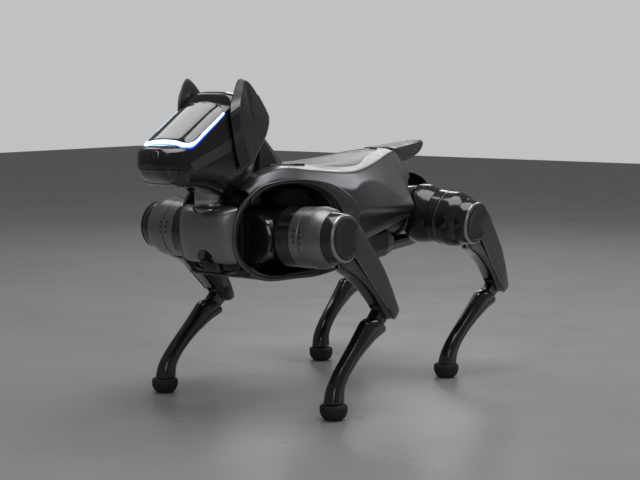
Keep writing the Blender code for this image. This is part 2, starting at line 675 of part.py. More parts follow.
def cover_section(row):
    """A thin arc that wraps the outer and rear faces of the thigh section."""
    along, rear, front, inner, outer = row
    middle_x, middle_y = (rear + front) / 2, (inner + outer) / 2
    bounds = []
    for grow in (0.0008, 0.0032):
        half_x, half_y = (front - rear) / 2 + grow, (outer - inner) / 2 + grow
        reach = max(-0.9, min(0.9, (COVER_FRONT - middle_x) / half_x))
        start = math.acos(math.copysign(abs(reach) ** 1.5, reach))
        arc = superellipse(half_x, half_y, 3.0, 11, start, math.radians(196) - start)
        bounds.append([(middle_x + a, middle_y + b, -along) for a, b in arc])
    return bounds[0] + bounds[1][::-1]


def chord_box(name, low, high):
    """A block on one side of the line between the disc and the cover."""
    middle = (low + high) / 2
    block = box_mesh(name, (0.30, 0.08, high - low), (0, 0.03, -middle))
    block.transform(Matrix.Rotation(math.atan2(0.6, 0.8), 4, "Y"))
    return block


def add_thigh(hip, corner, sign):
    name = f"thigh_shell_{corner}"
    rings = [thigh_section(row) for row in THIGH_EDGES]
    thigh = add_object(name, flipped(loft_mesh(name, rings), sign), "black_gloss", hip)
    cap = rod_mesh(f"{name}_cap", "Y", 0.0372, 0.0100, 0.0262, segments=44, end_radius=0.0330)
    bore = rod_mesh(f"{name}_bore", "Y", 0.0446, -0.04, 0.0096, segments=36)
    pin = rod_mesh(f"{name}_pin", "Y", 0.0050, -0.0100, 0.0100, (0, 0, -THIGH_LENGTH), 20)
    for mesh, operation in ((cap, "UNION"), (bore, "DIFFERENCE"), (knee_slot(f"{name}_fork"), "DIFFERENCE"),
                            (pin, "UNION")):
        add_boolean(thigh, add_helper(mesh.name, flipped(mesh, sign), hip), operation)
    seam = DRUM_SEAM + GAP / 2
    profile = ((0.0, seam), (DRUM_RADIUS, seam), (0.0440, -0.0080), (0.0415, 0.0020), (0.0376, 0.0092),
               (0.0, 0.0092))
    drive = turned_mesh(f"knee_drive_{corner}", profile)
    add_object(f"knee_drive_{corner}", flipped(drive, sign), "chest_paint", hip)
    add_thigh_cover(hip, corner, sign)


def add_thigh_cover(hip, corner, sign):
    name = f"thigh_cover_{corner}"
    rings = [cover_section(row) for row in THIGH_EDGES[:9]]
    cover = add_object(name, flipped(loft_mesh(name, rings), sign), "dark_cover", hip)
    seat = rod_mesh(f"{name}_seat", "Y", 0.0446, -0.03, 0.0096, segments=36)
    cap_seat = rod_mesh(f"{name}_cap_seat", "Y", 0.0376, 0.0096, 0.0266, segments=44, end_radius=0.0334)
    for mesh in (seat, cap_seat, chord_box(f"{name}_edge", -0.20, COVER_CHORD + GAP / 2)):
        add_boolean(cover, add_helper(mesh.name, flipped(mesh, sign), hip), "DIFFERENCE")
    disc = rod_mesh(f"hip_disc_{corner}", "Y", 0.0300, 0.0266, THIGH_FACE, segments=44, end_radius=0.0288)
    disc_object = add_object(f"hip_disc_{corner}", flipped(disc, sign), "black_satin", hip)
    trim = flipped(chord_box(f"hip_disc_{corner}_edge", COVER_CHORD - GAP / 2, 0.20), sign)
    add_boolean(disc_object, add_helper(trim.name, trim, hip), "DIFFERENCE")


def knee_slot(name):
    """Room for the shank's tongue, open at the front and the bottom of the thigh's lower end."""
    outline = [(0.0600, -0.0500), (-0.0420, -0.0500)]
    for i in range(9):
        angle = math.pi - math.radians(100) * i / 8
        outline.append((0.0190 * math.cos(angle), 0.0190 * math.sin(angle)))
    points = [(x, z - THIGH_LENGTH) for x, z in outline + [(0.0600, 0.0400)]]
    return plate_mesh(name, points, -0.0084, 0.0084)


SHANK_EDGES = (  # (x, distance down) of the rear edge and of the front edge, then the half thickness
    ((-0.0205, 0.0235), (0.0040, 0.0235), 0.0105),
    ((-0.0235, 0.0270), (0.0140, 0.0290), 0.0120),
    ((-0.0175, 0.0390), (0.0235, 0.0420), 0.0125),
    ((-0.0110, 0.0520), (0.0248, 0.0560), 0.0122),
    ((0.0005, 0.0850), (0.0262, 0.0860), 0.0112),
    ((0.0060, 0.1130), (0.0290, 0.1120), 0.0105),
    ((0.0075, 0.1360), (0.0305, 0.1400), 0.0108),
    ((0.0045, 0.1500), (0.0280, 0.1650), 0.0115),
    ((-0.0045, 0.1612), (0.0190, 0.1838), 0.0125),
)
GROOVE = 0.42  # where the guard meets the shank, as a share of the width from the rear edge


def shank_ring(row, part):
    """A rounded section of the shank (front part) or of the guard behind it (rear part)."""
    (rear_x, rear_s), (front_x, front_s), half = row
    rear, front = Vector((rear_x, 0, -rear_s)), Vector((front_x, 0, -front_s))
    width = (front - rear).length
    split = GROOVE + (GAP / 2 / width if part == "front" else -GAP / 2 / width)
    ring = []
    for a, b in superellipse(0.5, half, 2.6, 22):
        share = 0.5 + a
        if (share < split) == (part == "rear"):
            ring.append((share, b))
    edge_half = half * (1 - abs(2 * split - 1) ** 2.6) ** (1 / 2.6)
    at = {"front": lambda: [i for i, p in enumerate(ring) if p[0] > split],
          "rear": lambda: list(range(len(ring)))}[part]()
    upper = sorted((ring[i] for i in at if ring[i][1] > 0), key=lambda p: p[0])
    middle = [ring[i] for i in at if abs(ring[i][1]) <= 1e-9]
    lower = sorted((ring[i] for i in at if ring[i][1] < 0), key=lambda p: p[0])
    if part == "front":
        points = [(split, edge_half)] + upper + middle + lower[::-1] + [(split, -edge_half)]
    else:
        points = [(split, -edge_half)] + lower[::-1] + middle + upper + [(split, edge_half)]
    return [tuple(rear.lerp(front, share) + Vector((0, y, 0))) for share, y in points]


def shank_rows():
    flat = [(*rear, *front, half) for rear, front, half in SHANK_EDGES]
    return [((r[0], r[1]), (r[2], r[3]), r[4]) for r in smooth_curve(flat, 2)]


def add_shank(knee, corner, sign, rest):
    name = f"shank_{corner}"
    front = loft_mesh(name, [shank_ring(row, "front") for row in shank_rows()])
    shank = add_object(name, flipped(front, sign), "black_gloss", knee)
    tongue = plate_mesh(f"{name}_tongue", tongue_outline(), -0.0080, 0.0080)
    add_boolean(shank, add_helper(tongue.name, flipped(tongue, sign), knee), "UNION")
    bore = rod_mesh(f"{name}_bore", "Y", 0.0054, -0.03, 0.03, segments=20)
    add_boolean(shank, add_helper(bore.name, flipped(bore, sign), knee), "DIFFERENCE")
    rear = loft_mesh(f"shank_guard_{corner}", [shank_ring(row, "rear") for row in shank_rows()])
    guard = add_object(f"shank_guard_{corner}", flipped(rear, sign), "dark_cover", knee)
    seat = plate_mesh(f"{name}_seat", tongue_outline(GAP), -0.0084, 0.0084)
    add_boolean(guard, add_helper(seat.name, flipped(seat, sign), knee), "DIFFERENCE")
    add_foot(knee, corner, rest)


def tongue_outline(grow=0.0):
    """A rounded knuckle about the knee with a neck running down into the shank."""
    radius = 0.0155 + grow
    points = [(0.0120 + grow, -0.0400 - grow), (-0.0080 - grow, -0.0400 - grow)]
    for i in range(17):
        angle = math.radians(200 - 250 * i / 16)
        points.append((radius * math.cos(angle), radius * math.sin(angle)))
    return points


def add_foot(knee, corner, rest):
    """A squat rubber ball with a flat sole, upright when the robot stands."""
    sole = FLOOR_Z - FOOT_CENTRE_Z
    profile = [(0.0, sole), (0.0095, sole), (0.0145, sole + 0.0022), (0.0180, sole + 0.0060),
               (0.0194, -0.0010), (FOOT_RADIUS, 0.0030), (FOOT_RADIUS, 0.0062), (0.0186, 0.0086),
               (0.0165, 0.0096), (0.0, 0.0096)]
    bm = bmesh.new()
    points = [bm.verts.new((r, 0, z)) for r, z in profile]
    edges = [bm.edges.new(pair) for pair in zip(points, points[1:])]
    bmesh.ops.spin(bm, geom=points + edges, cent=(0, 0, 0), axis=(0, 0, 1), angle=2 * math.pi, steps=20,
                   use_merge=True)
    bmesh.ops.remove_doubles(bm, verts=bm.verts, dist=1e-6)
    foot = add_object(f"foot_{corner}", mesh_from(f"foot_{corner}", bm), "rubber", knee)
    foot.matrix_local = Matrix.Translation((0, 0, -SHANK_LENGTH)) @ rest.inverted().to_4x4()
    return foot


def add_leg(frame, corner, sign, which):
    outward = 1 if which == "front" else -1
    splay, thigh_pitch, shank_pitch = STANCE[which]
    hip_z = hip_height(which)
    hip_x = outward * HIP_X
    add_abad_motor(frame, corner, sign, hip_x, hip_z, outward)
    roll = add_empty(f"abad_axis_{corner}", frame, (hip_x, sign * ABAD_Y, hip_z),
                     (sign * splay, 0, 0))
    add_hip_housing(roll, corner, sign, outward)
    hip = add_empty(f"hip_axis_{corner}", roll, (0, sign * LEG_PLANE, 0), (0, thigh_pitch, 0))
    add_thigh(hip, corner, sign)
    knee = add_empty(f"knee_axis_{corner}", hip, (0, 0, -THIGH_LENGTH), (0, shank_pitch - thigh_pitch, 0))
    rest = Matrix.Rotation(sign * splay, 3, "X") @ Matrix.Rotation(shank_pitch, 3, "Y")
    add_shank(knee, corner, sign, rest)


def build():
    frame = add_empty("body_frame", location=ORIGIN_SHIFT)
    add_back_shell(frame)
    add_back_inlay(frame)
    add_chest_shell(frame)
    add_chest_sensor(frame)
    for side, sign in (("left", 1), ("right", -1)):
        add_arch_liner(frame, side, sign)
        add_ear(frame, side, sign)
    add_belly_pan(frame)
    add_chassis(frame)
    add_rear_cap(frame)
    add_tail_fin(frame)
    add_internals(frame)
    add_head(frame)
    add_face(frame)
    add_neck(frame)
    for corner, sign, which in (("fl", 1, "front"), ("fr", -1, "front"), ("rl", 1, "rear"),
                                ("rr", -1, "rear")):
        add_leg(frame, corner, sign, which)


build()
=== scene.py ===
"""Looks of the quadruped robot dog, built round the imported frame.

Shapes are made in the design frame (floor at z 0.009) or in a leg's own frame, then moved into the row frame.
"""

import json
import math

import bmesh
import bpy
from mathutils import Matrix, Vector
from mathutils.bvhtree import BVHTree


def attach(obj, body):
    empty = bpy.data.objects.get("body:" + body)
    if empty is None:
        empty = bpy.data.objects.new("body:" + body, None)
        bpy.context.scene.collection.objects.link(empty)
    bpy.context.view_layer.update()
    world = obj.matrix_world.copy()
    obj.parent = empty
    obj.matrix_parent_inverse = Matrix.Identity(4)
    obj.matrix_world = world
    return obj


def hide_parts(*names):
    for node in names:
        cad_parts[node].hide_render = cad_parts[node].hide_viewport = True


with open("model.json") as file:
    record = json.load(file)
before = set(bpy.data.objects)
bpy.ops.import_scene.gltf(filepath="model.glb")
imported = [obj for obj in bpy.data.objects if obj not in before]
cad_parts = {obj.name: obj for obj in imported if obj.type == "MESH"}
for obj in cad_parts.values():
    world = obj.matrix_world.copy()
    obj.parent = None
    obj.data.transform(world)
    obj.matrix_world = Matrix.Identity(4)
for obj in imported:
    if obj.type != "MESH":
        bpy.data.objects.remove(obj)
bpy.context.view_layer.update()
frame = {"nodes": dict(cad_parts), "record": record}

# ---- frames -------------------------------------------------------------------------------------
ORIGIN_SHIFT = Vector((-0.0302, 0.0, -0.009))
TORSO = Matrix.Translation(ORIGIN_SHIFT)
HIP_X = 0.1766
ABAD_Y = 0.042
LEG_PLANE = 0.1086
THIGH_LENGTH = 0.1656
SHANK_LENGTH = 0.1816
FOOT_CENTRE_Z = 0.021
FLOOR_Z = 0.009
STANCE = {
    "front": (math.radians(2.0), math.radians(47.4), math.radians(-43.7)),
    "rear": (math.radians(-6.0), math.radians(48.0), math.radians(-43.6)),
}
NECK_CENTRE = (0.258, 0, 0)


def hip_height(which):
    splay, thigh_pitch, shank_pitch = STANCE[which]
    drop = THIGH_LENGTH * math.cos(thigh_pitch) + SHANK_LENGTH * math.cos(shank_pitch)
    return FOOT_CENTRE_Z - LEG_PLANE * math.sin(splay) + drop * math.cos(splay)


def leg_frames(sign, which):
    """Row-frame matrices of the roll, hip and knee frames of one leg."""
    splay, thigh_pitch, shank_pitch = STANCE[which]
    outward = 1 if which == "front" else -1
    roll = TORSO @ Matrix.Translation((outward * HIP_X, sign * ABAD_Y, hip_height(which)))
    roll = roll @ Matrix.Rotation(sign * splay, 4, "X")
    hip = roll @ Matrix.Translation((0, sign * LEG_PLANE, 0)) @ Matrix.Rotation(thigh_pitch, 4, "Y")
    knee = hip @ Matrix.Translation((0, 0, -THIGH_LENGTH))
    knee = knee @ Matrix.Rotation(shank_pitch - thigh_pitch, 4, "Y")
    return roll, hip, knee


# ---- materials ----------------------------------------------------------------------------------
class Nodes:
    """Short calls for building one material's node tree."""

    def __init__(self, name):
        self.material = bpy.data.materials.new(name)
        self.material.use_nodes = True
        self.tree = self.material.node_tree
        self.shader = self.tree.nodes["Principled BSDF"]
        self.coords = self.add("ShaderNodeTexCoord").outputs["Object"]

    def add(self, kind, **values):
        node = self.tree.nodes.new(kind)
        for key, value in values.items():
            setattr(node, key, value)
        return node

    def link(self, a, b):
        self.tree.links.new(a, b)

    def noise(self, scale, detail=4.0, roughness=0.55, stretch=None, distortion=0.0):
        node = self.add("ShaderNodeTexNoise")
        node.inputs["Scale"].default_value = scale
        node.inputs["Detail"].default_value = detail
        node.inputs["Roughness"].default_value = roughness
        node.inputs["Distortion"].default_value = distortion
        if stretch:
            mapping = self.add("ShaderNodeMapping")
            mapping.inputs["Scale"].default_value = stretch
            self.link(self.coords, mapping.inputs["Vector"])
            self.link(mapping.outputs["Vector"], node.inputs["Vector"])
        else:
            self.link(self.coords, node.inputs["Vector"])
        return node.outputs["Fac"]

    def span(self, value, low, high, start=0.3, end=0.7):
        node = self.add("ShaderNodeMapRange")
        for key, number in (("From Min", start), ("From Max", end), ("To Min", low), ("To Max", high)):
            node.inputs[key].default_value = number
        self.link(value, node.inputs["Value"])
        return node.outputs["Result"]

    def maths(self, operation, a, b=None):
        node = self.add("ShaderNodeMath", operation=operation)
        for socket, value in zip(node.inputs, (a, b)):
            if value is None:
                continue
            if isinstance(value, (int, float)):
                socket.default_value = value
            else:
                self.link(value, socket)
        return node.outputs["Value"]

    def mix(self, share, first, second):
        node = self.add("ShaderNodeMix", data_type="RGBA")
        if isinstance(share, (int, float)):
            node.inputs["Factor"].default_value = share
        else:
            self.link(share, node.inputs["Factor"])
        for key, value in ((6, first), (7, second)):
            if isinstance(value, tuple):
                node.inputs[key].default_value = (*value, 1.0)
            else:
                self.link(value, node.inputs[key])
        return node.outputs[2]

    def edge_wear(self, radius):
        """1 on outer edges, 0 on flat areas."""
        bevel = self.add("ShaderNodeBevel", samples=4)
        bevel.inputs["Radius"].default_value = radius
        geometry = self.add("ShaderNodeNewGeometry")
        dot = self.add("ShaderNodeVectorMath", operation="DOT_PRODUCT")
        self.link(bevel.outputs["Normal"], dot.inputs[0])
        self.link(geometry.outputs["Normal"], dot.inputs[1])
        return self.span(dot.outputs["Value"], 1.0, 0.0, 0.80, 0.995)

    def bump(self, height, strength, distance):
        node = self.add("ShaderNodeBump")
        node.inputs["Strength"].default_value = strength
        node.inputs["Distance"].default_value = distance
        self.link(height, node.inputs["Height"])
        self.link(node.outputs["Normal"], self.shader.inputs["Normal"])
        return node


def finish(name, colour, roughness, metallic=0.0, coat=0.0, grain=(900.0, 0.15, 0.0002), mottle=0.05,
           wear=0.35, tint=0.12, brushed=None, specular=0.5, coat_roughness=0.08):
    """A painted, moulded or brushed surface: mottled roughness, fine grain in the bump, worn edges."""
    n = Nodes(name)
    broad = n.noise(14.0, 5.0, 0.6)
    smudge = n.noise(46.0, 3.0, 0.5, distortion=0.6)
    fine = n.noise(grain[0], 3.0, 0.6, stretch=brushed)
    speck = n.noise(1800.0, 2.0, 0.5)
    edge = n.edge_wear(0.0009)
    patchy = n.maths("MULTIPLY", edge, n.span(n.noise(160.0, 3.0), 0.25, 1.0))
    dark = tuple(c * (1.0 - tint) for c in colour)
    light = tuple(min(1.0, c * (1.0 + tint) + 0.002) for c in colour)
    worn = tuple(min(1.0, c * (1.0 + wear) + 0.02 * wear) for c in colour)
    base = n.mix(n.span(broad, 0.0, 1.0), dark, light)
    base = n.mix(n.maths("MULTIPLY", n.span(speck, 0.0, 1.0, 0.62, 0.75), 0.25), base, light)
    base = n.mix(n.maths("MULTIPLY", patchy, min(1.0, 0.9 * wear + 0.1)), base, worn)
    n.link(base, n.shader.inputs["Base Color"])
    rough = n.maths("ADD", n.span(smudge, -mottle, mottle), n.span(broad, roughness - mottle * 0.6,
                                                                 roughness + mottle * 0.6))
    rough = n.maths("ADD", rough, n.maths("MULTIPLY", patchy, 0.06))
    rough = n.maths("ADD", rough, n.span(fine, -0.02, 0.02))
    n.link(n.maths("MAXIMUM", rough, 0.03), n.shader.inputs["Roughness"])
    n.shader.inputs["Metallic"].default_value = metallic
    n.shader.inputs["Coat Weight"].default_value = coat
    n.shader.inputs["Coat Roughness"].default_value = coat_roughness
    n.shader.inputs["Specular IOR Level"].default_value = specular
    height = n.maths("ADD", n.maths("MULTIPLY", broad, 0.08), fine)
    n.bump(height, grain[1], grain[2])
    return n.material


def glow(name, inner, outer, strength):
    """The lit light guide: a little uneven along its length."""
    n = Nodes(name)
    ripple = n.span(n.noise(120.0, 2.0), 0.86, 1.0)
    flecks = n.span(n.noise(700.0, 2.0), 0.0, 1.0)
    colour = n.mix(flecks, inner, outer)
    n.link(colour, n.shader.inputs["Base Color"])
    n.link(colour, n.shader.inputs["Emission Color"])
    n.link(n.maths("MULTIPLY", ripple, strength), n.shader.inputs["Emission Strength"])
    n.link(n.span(n.noise(300.0, 2.0), 0.15, 0.3), n.shader.inputs["Roughness"])
    n.bump(n.noise(800.0), 0.05, 0.0001)
    return n.material


def painted_glow(name, strength):
    """Black glossy plastic with the strip's blue light painted on as emission, fading with the vertex value fade.
    """
    n = Nodes(name)
    fade = n.add("ShaderNodeAttribute", attribute_name="fade").outputs["Fac"]
    curve = n.maths("POWER", fade, 1.7)
    n.shader.inputs["Base Color"].default_value = (0.008, 0.009, 0.014, 1.0)
    blue = n.mix(curve, (0.0, 0.005, 0.2), (0.03, 0.16, 1.0))
    n.link(blue, n.shader.inputs["Emission Color"])
    n.link(n.maths("MULTIPLY", curve, strength), n.shader.inputs["Emission Strength"])
    n.link(n.span(n.noise(40.0), 0.08, 0.16), n.shader.inputs["Roughness"])
    n.bump(n.noise(500.0), 0.05, 0.0001)
    return n.material


GRAIN_SMOOTH = (700.0, 0.05, 0.0001)
LOOKS = {
    "gunmetal_paint": finish("gunmetal_paint", (0.125, 0.128, 0.136), 0.34, 0.72, 0.25, (1500.0, 0.10, 0.0001),
                             0.04, 0.5, 0.08, coat_roughness=0.22),
    "chest_paint": finish("chest_paint", (0.235, 0.235, 0.243), 0.36, 0.78, 0.2, (1500.0, 0.10, 0.0001),
                          0.05, 0.4, 0.07, coat_roughness=0.25),
    "black_gloss": finish("black_gloss", (0.011, 0.011, 0.013), 0.17, 0.0, 0.6, GRAIN_SMOOTH, 0.05, 0.9, 0.2),
    "black_satin": finish("black_satin", (0.021, 0.021, 0.024), 0.36, 0.0, 0.1, (1300.0, 0.22, 0.00015), 0.05,
                          0.8, 0.2),
    "dark_cover": finish("dark_cover", (0.088, 0.09, 0.096), 0.38, 0.45, 0.15, (1500.0, 0.14, 0.0001), 0.05,
                         0.6, 0.1, coat_roughness=0.25),
    "neck_metal": finish("neck_metal", (0.44, 0.44, 0.455), 0.27, 1.0, 0.0, (260.0, 0.18, 0.00008), 0.05,
                         0.3, 0.08, brushed=(1.0, 1.0, 14.0)),
    "trim_light": finish("trim_light", (0.36, 0.365, 0.38), 0.3, 0.85, 0.2, (1200.0, 0.08, 0.0001), 0.04, 0.3,
                         0.06),
    "visor_glass": finish("visor_glass", (0.012, 0.012, 0.014), 0.10, 0.0, 1.0, GRAIN_SMOOTH, 0.03, 0.5, 0.2,
                          coat_roughness=0.04),
    "lens_glass": finish("lens_glass", (0.006, 0.006, 0.012), 0.06, 0.0, 1.0, GRAIN_SMOOTH, 0.02, 0.4, 0.2,
                         coat_roughness=0.03),
    "rubber": finish("rubber", (0.017, 0.017, 0.018), 0.72, 0.0, 0.0, (650.0, 0.5, 0.0003), 0.08, 0.9, 0.25),
    "frame_alloy": finish("frame_alloy", (0.10, 0.10, 0.105), 0.42, 0.9, 0.0, (300.0, 0.2, 0.0001), 0.06, 0.3,
                          0.1, brushed=(12.0, 1.0, 1.0)),
    "motor_metal": finish("motor_metal", (0.06, 0.06, 0.064), 0.38, 0.9, 0.0, (400.0, 0.2, 0.0001), 0.06, 0.4,
                          0.1, brushed=(10.0, 1.0, 1.0)),
    "battery_case": finish("battery_case", (0.03, 0.03, 0.032), 0.5, 0.0, 0.0, (900.0, 0.3, 0.0002)),
    "board_green": finish("board_green", (0.02, 0.12, 0.06), 0.5, 0.0, 0.2, (500.0, 0.2, 0.0002)),
    "light_guide": glow("light_guide", (0.62, 0.80, 1.0), (0.42, 0.62, 1.0), 2.6),
    "painted_strip_glow": painted_glow("painted_strip_glow", 2.4),
}


# ---- pieces -------------------------------------------------------------------------------------
def mesh_of(bm):
    """Turns a bmesh into a mesh with its normals outward."""
    bmesh.ops.recalc_face_normals(bm, faces=bm.faces)
    mesh = bpy.data.meshes.new("mesh")
    bm.to_mesh(mesh)
    bm.free()
    return mesh


def piece(name, mesh, look, body="torso", place=TORSO, replaces=(), sharp=32.0, cutters=(), bevel=0.0,
          segments=3, wall=0.0, angle=32.0):
    """Finishes a mesh as one visible piece that rides on a CAD body.

    A cutter is a mesh to take away, or an (operation, mesh) pair for another boolean.
    """
    obj = bpy.data.objects.new(name, mesh)
    bpy.context.scene.collection.objects.link(obj)
    helpers = []
    if wall:
        solid = obj.modifiers.new("wall", "SOLIDIFY")
        solid.thickness, solid.offset = wall, -1.0
    for i, cutter in enumerate(cutters):
        operation, cutter = cutter if isinstance(cutter, tuple) else ("DIFFERENCE", cutter)
        helper = bpy.data.objects.new(f"{name}_cut{i}", cutter)
        bpy.context.scene.collection.objects.link(helper)
        helpers.append(helper)
        modifier = obj.modifiers.new(f"cut{i}", "BOOLEAN")
        modifier.operation, modifier.object = operation, helper
    if bevel:
        rounded = obj.modifiers.new("bevel", "BEVEL")
        rounded.width, rounded.segments = bevel, segments
        rounded.limit_method, rounded.angle_limit = "ANGLE", math.radians(angle)
        rounded.harden_normals = False
    bpy.context.view_layer.update()
    if obj.modifiers:
        evaluated = obj.evaluated_get(bpy.context.evaluated_depsgraph_get())
        final = bpy.data.meshes.new_from_object(evaluated)
        obj.modifiers.clear()
        obj.data = final
    for helper in helpers:
        bpy.data.objects.remove(helper)
    data = obj.data
    data.transform(place)
    data.materials.clear()
    data.materials.append(LOOKS[look])
    for polygon in data.polygons:
        polygon.material_index = 0
    data.shade_smooth()
    data.set_sharp_from_angle(angle=math.radians(sharp))
    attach(obj, body)
    if replaces:
        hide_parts(*replaces)
    return obj


def loft(rings, closed=True, capped=True):
    bm = bmesh.new()
    rows = [[bm.verts.new(point) for point in ring] for ring in rings]
    count = len(rows[0])
    for first, second in zip(rows, rows[1:]):
        for i in range(count if closed else count - 1):
            j = (i + 1) % count
            bm.faces.new((first[i], first[j], second[j], second[i]))
    if capped:
        bm.faces.new(list(reversed(rows[0])))
        bm.faces.new(rows[-1])
    return mesh_of(bm)


def ring_loft(rings):
    """A closed band: the last ring joins back to the first."""
    bm = bmesh.new()
    rows = [[bm.verts.new(point) for point in ring] for ring in rings]
    count = len(rows[0])
    for k, first in enumerate(rows):
        second = rows[(k + 1) % len(rows)]
        for i in range(count):
            j = (i + 1) % count
            bm.faces.new((first[i], first[j], second[j], second[i]))
    return mesh_of(bm)


def plate(outline, low, high):
    """A flat piece in the XZ plane between two y values."""
    return loft([[(x, y, z) for x, z in outline] for y in (low, high)])


def side_plate(outline, sign, near=0.030, far=0.16):
    """A plate on one side of the robot, between two distances from its centre plane."""
    return plate(outline, *sorted((sign * near, sign * far)))


def front_plate(outline, low, high):
    """A flat piece in the YZ plane between two x values."""
    return loft([[(x, y, z) for y, z in outline] for x in (low, high)])


def box(size, centre):
    bm = bmesh.new()
    bmesh.ops.create_cube(bm, size=1.0)
    bmesh.ops.scale(bm, vec=size, verts=bm.verts)
    bmesh.ops.translate(bm, vec=centre, verts=bm.verts)
    return mesh_of(bm)


def turned(profile, segments=72, axis="Y", centre=(0, 0, 0)):
    """A turned solid from (radius, along) points that start and end on the axis."""
    bm = bmesh.new()
    points = [bm.verts.new((r, y, 0)) for r, y in profile]
    edges = [bm.edges.new(pair) for pair in zip(points, points[1:])]
    bmesh.ops.spin(bm, geom=points + edges, cent=(0, 0, 0), axis=(0, 1, 0), angle=2 * math.pi,
                   steps=segments, use_merge=True)
    bmesh.ops.remove_doubles(bm, verts=bm.verts, dist=1e-6)
    turn = {"Y": Matrix.Identity(3), "X": Matrix.Rotation(-math.pi / 2, 3, "Z"),
            "Z": Matrix.Rotation(math.pi / 2, 3, "X")}[axis]
    bmesh.ops.rotate(bm, matrix=turn, verts=bm.verts)
    bmesh.ops.translate(bm, vec=centre, verts=bm.verts)
    return mesh_of(bm)


def rod(radius, low, high, end=None, segments=72, axis="Y", centre=(0, 0, 0)):
    """A turned rod, tapering to the radius end."""
    end = radius if end is None else end
    return turned(((0, low), (radius, low), (end, high), (0, high)), segments, axis, centre)


def turned_ring(profile, segments=72, axis="Y", centre=(0, 0, 0)):
    """A turned ring from a closed (radius, along) section."""
    rings = []
    for r, y in profile:
        ring = []
        for i in range(segments):
            a = 2 * math.pi * i / segments
            ring.append((r * math.cos(a), y, r * math.sin(a)))
        rings.append(ring)
    mesh = ring_loft(rings)
    turn = {"Y": Matrix.Identity(4), "X": Matrix.Rotation(-math.pi / 2, 4, "Z"),
            "Z": Matrix.Rotation(math.pi / 2, 4, "X")}[axis]
    mesh.transform(Matrix.Translation(centre) @ turn)
    return mesh


def seam_ring(radius, along):
    """A thin band set in a drum's surface, standing just proud of it."""
    low, high = along - 0.0004, along + 0.0004
    inner, outer = radius - 0.0003, radius + 0.00018
    return turned_ring(((inner, low), (outer, low), (outer, high), (inner, high)), 96)


def curve_span(a, b, c, d, steps):
    """Catmull-Rom points from b towards c."""
    found = []
    for i in range(steps):
        t = i / steps
        found.append(tuple(
            0.5 * (2 * q + (r - p) * t + (2 * p - 5 * q + 4 * r - s) * t * t + (3 * q - p - 3 * r + s) * t ** 3)
            for p, q, r, s in zip(a, b, c, d)
        ))
    return found


def smooth_curve(points, steps):
    padded = [points[0], *points, points[-1]]
    spans = zip(padded, padded[1:], padded[2:], padded[3:])
    return [p for span in spans for p in curve_span(*span, steps)] + [tuple(points[-1])]


def smooth_loop(points, steps):
    count = len(points)
    spans = [[points[(k + j) % count] for j in (-1, 0, 1, 2)] for k in range(count)]
    return [p for span in spans for p in curve_span(*span, steps)]


def rounded_chain(points, radius, steps=3):
    """An open chain of straight facets whose inner corners are rounded, for sections with soft creases."""
    found = [Vector(points[0])]
    for a, b, c in zip(points, points[1:], points[2:]):
        a, b, c = Vector(a), Vector(b), Vector(c)
        cut = min(radius, (a - b).length * 0.45, (c - b).length * 0.45)
        start, end = b + (a - b).normalized() * cut, b + (c - b).normalized() * cut
        for i in range(steps + 1):
            t = i / steps
            found.append(start.lerp(b, t).lerp(b.lerp(end, t), t))
    found.append(Vector(points[-1]))
    return found


def superellipse(half_a, half_b, power, count, start=0.0, sweep=2 * math.pi):
    whole = abs(sweep - 2 * math.pi) < 1e-9
    found = []
    for i in range(count):
        angle = start + sweep * i / (count if whole else count - 1)
        c, s = math.cos(angle), math.sin(angle)
        found.append((half_a * math.copysign(abs(c) ** (2 / power), c),
                      half_b * math.copysign(abs(s) ** (2 / power), s)))
    return found


def tube(path, radius, sides=10):
    """A round bead that follows a path of points."""
    path = [Vector(p) for p in path]
    rings = []
    for i, p in enumerate(path):
        ahead = (path[min(i + 1, len(path) - 1)] - path[max(i - 1, 0)]).normalized()
        side = ahead.cross(Vector((0, 0, 1)))
        side = side.normalized() if side.length > 1e-4 else Vector((0, 1, 0))
        up = side.cross(ahead).normalized()
        rings.append([tuple(p + side * radius * math.cos(2 * math.pi * k / sides)
                            + up * radius * math.sin(2 * math.pi * k / sides)) for k in range(sides)])
    return loft(rings)


def flipped(mesh, sign):
    if sign < 0:
        mesh.transform(Matrix.Diagonal((1, -1, 1, 1)))
        mesh.flip_normals()
    return mesh


SIDES = (("left", 1), ("right", -1))

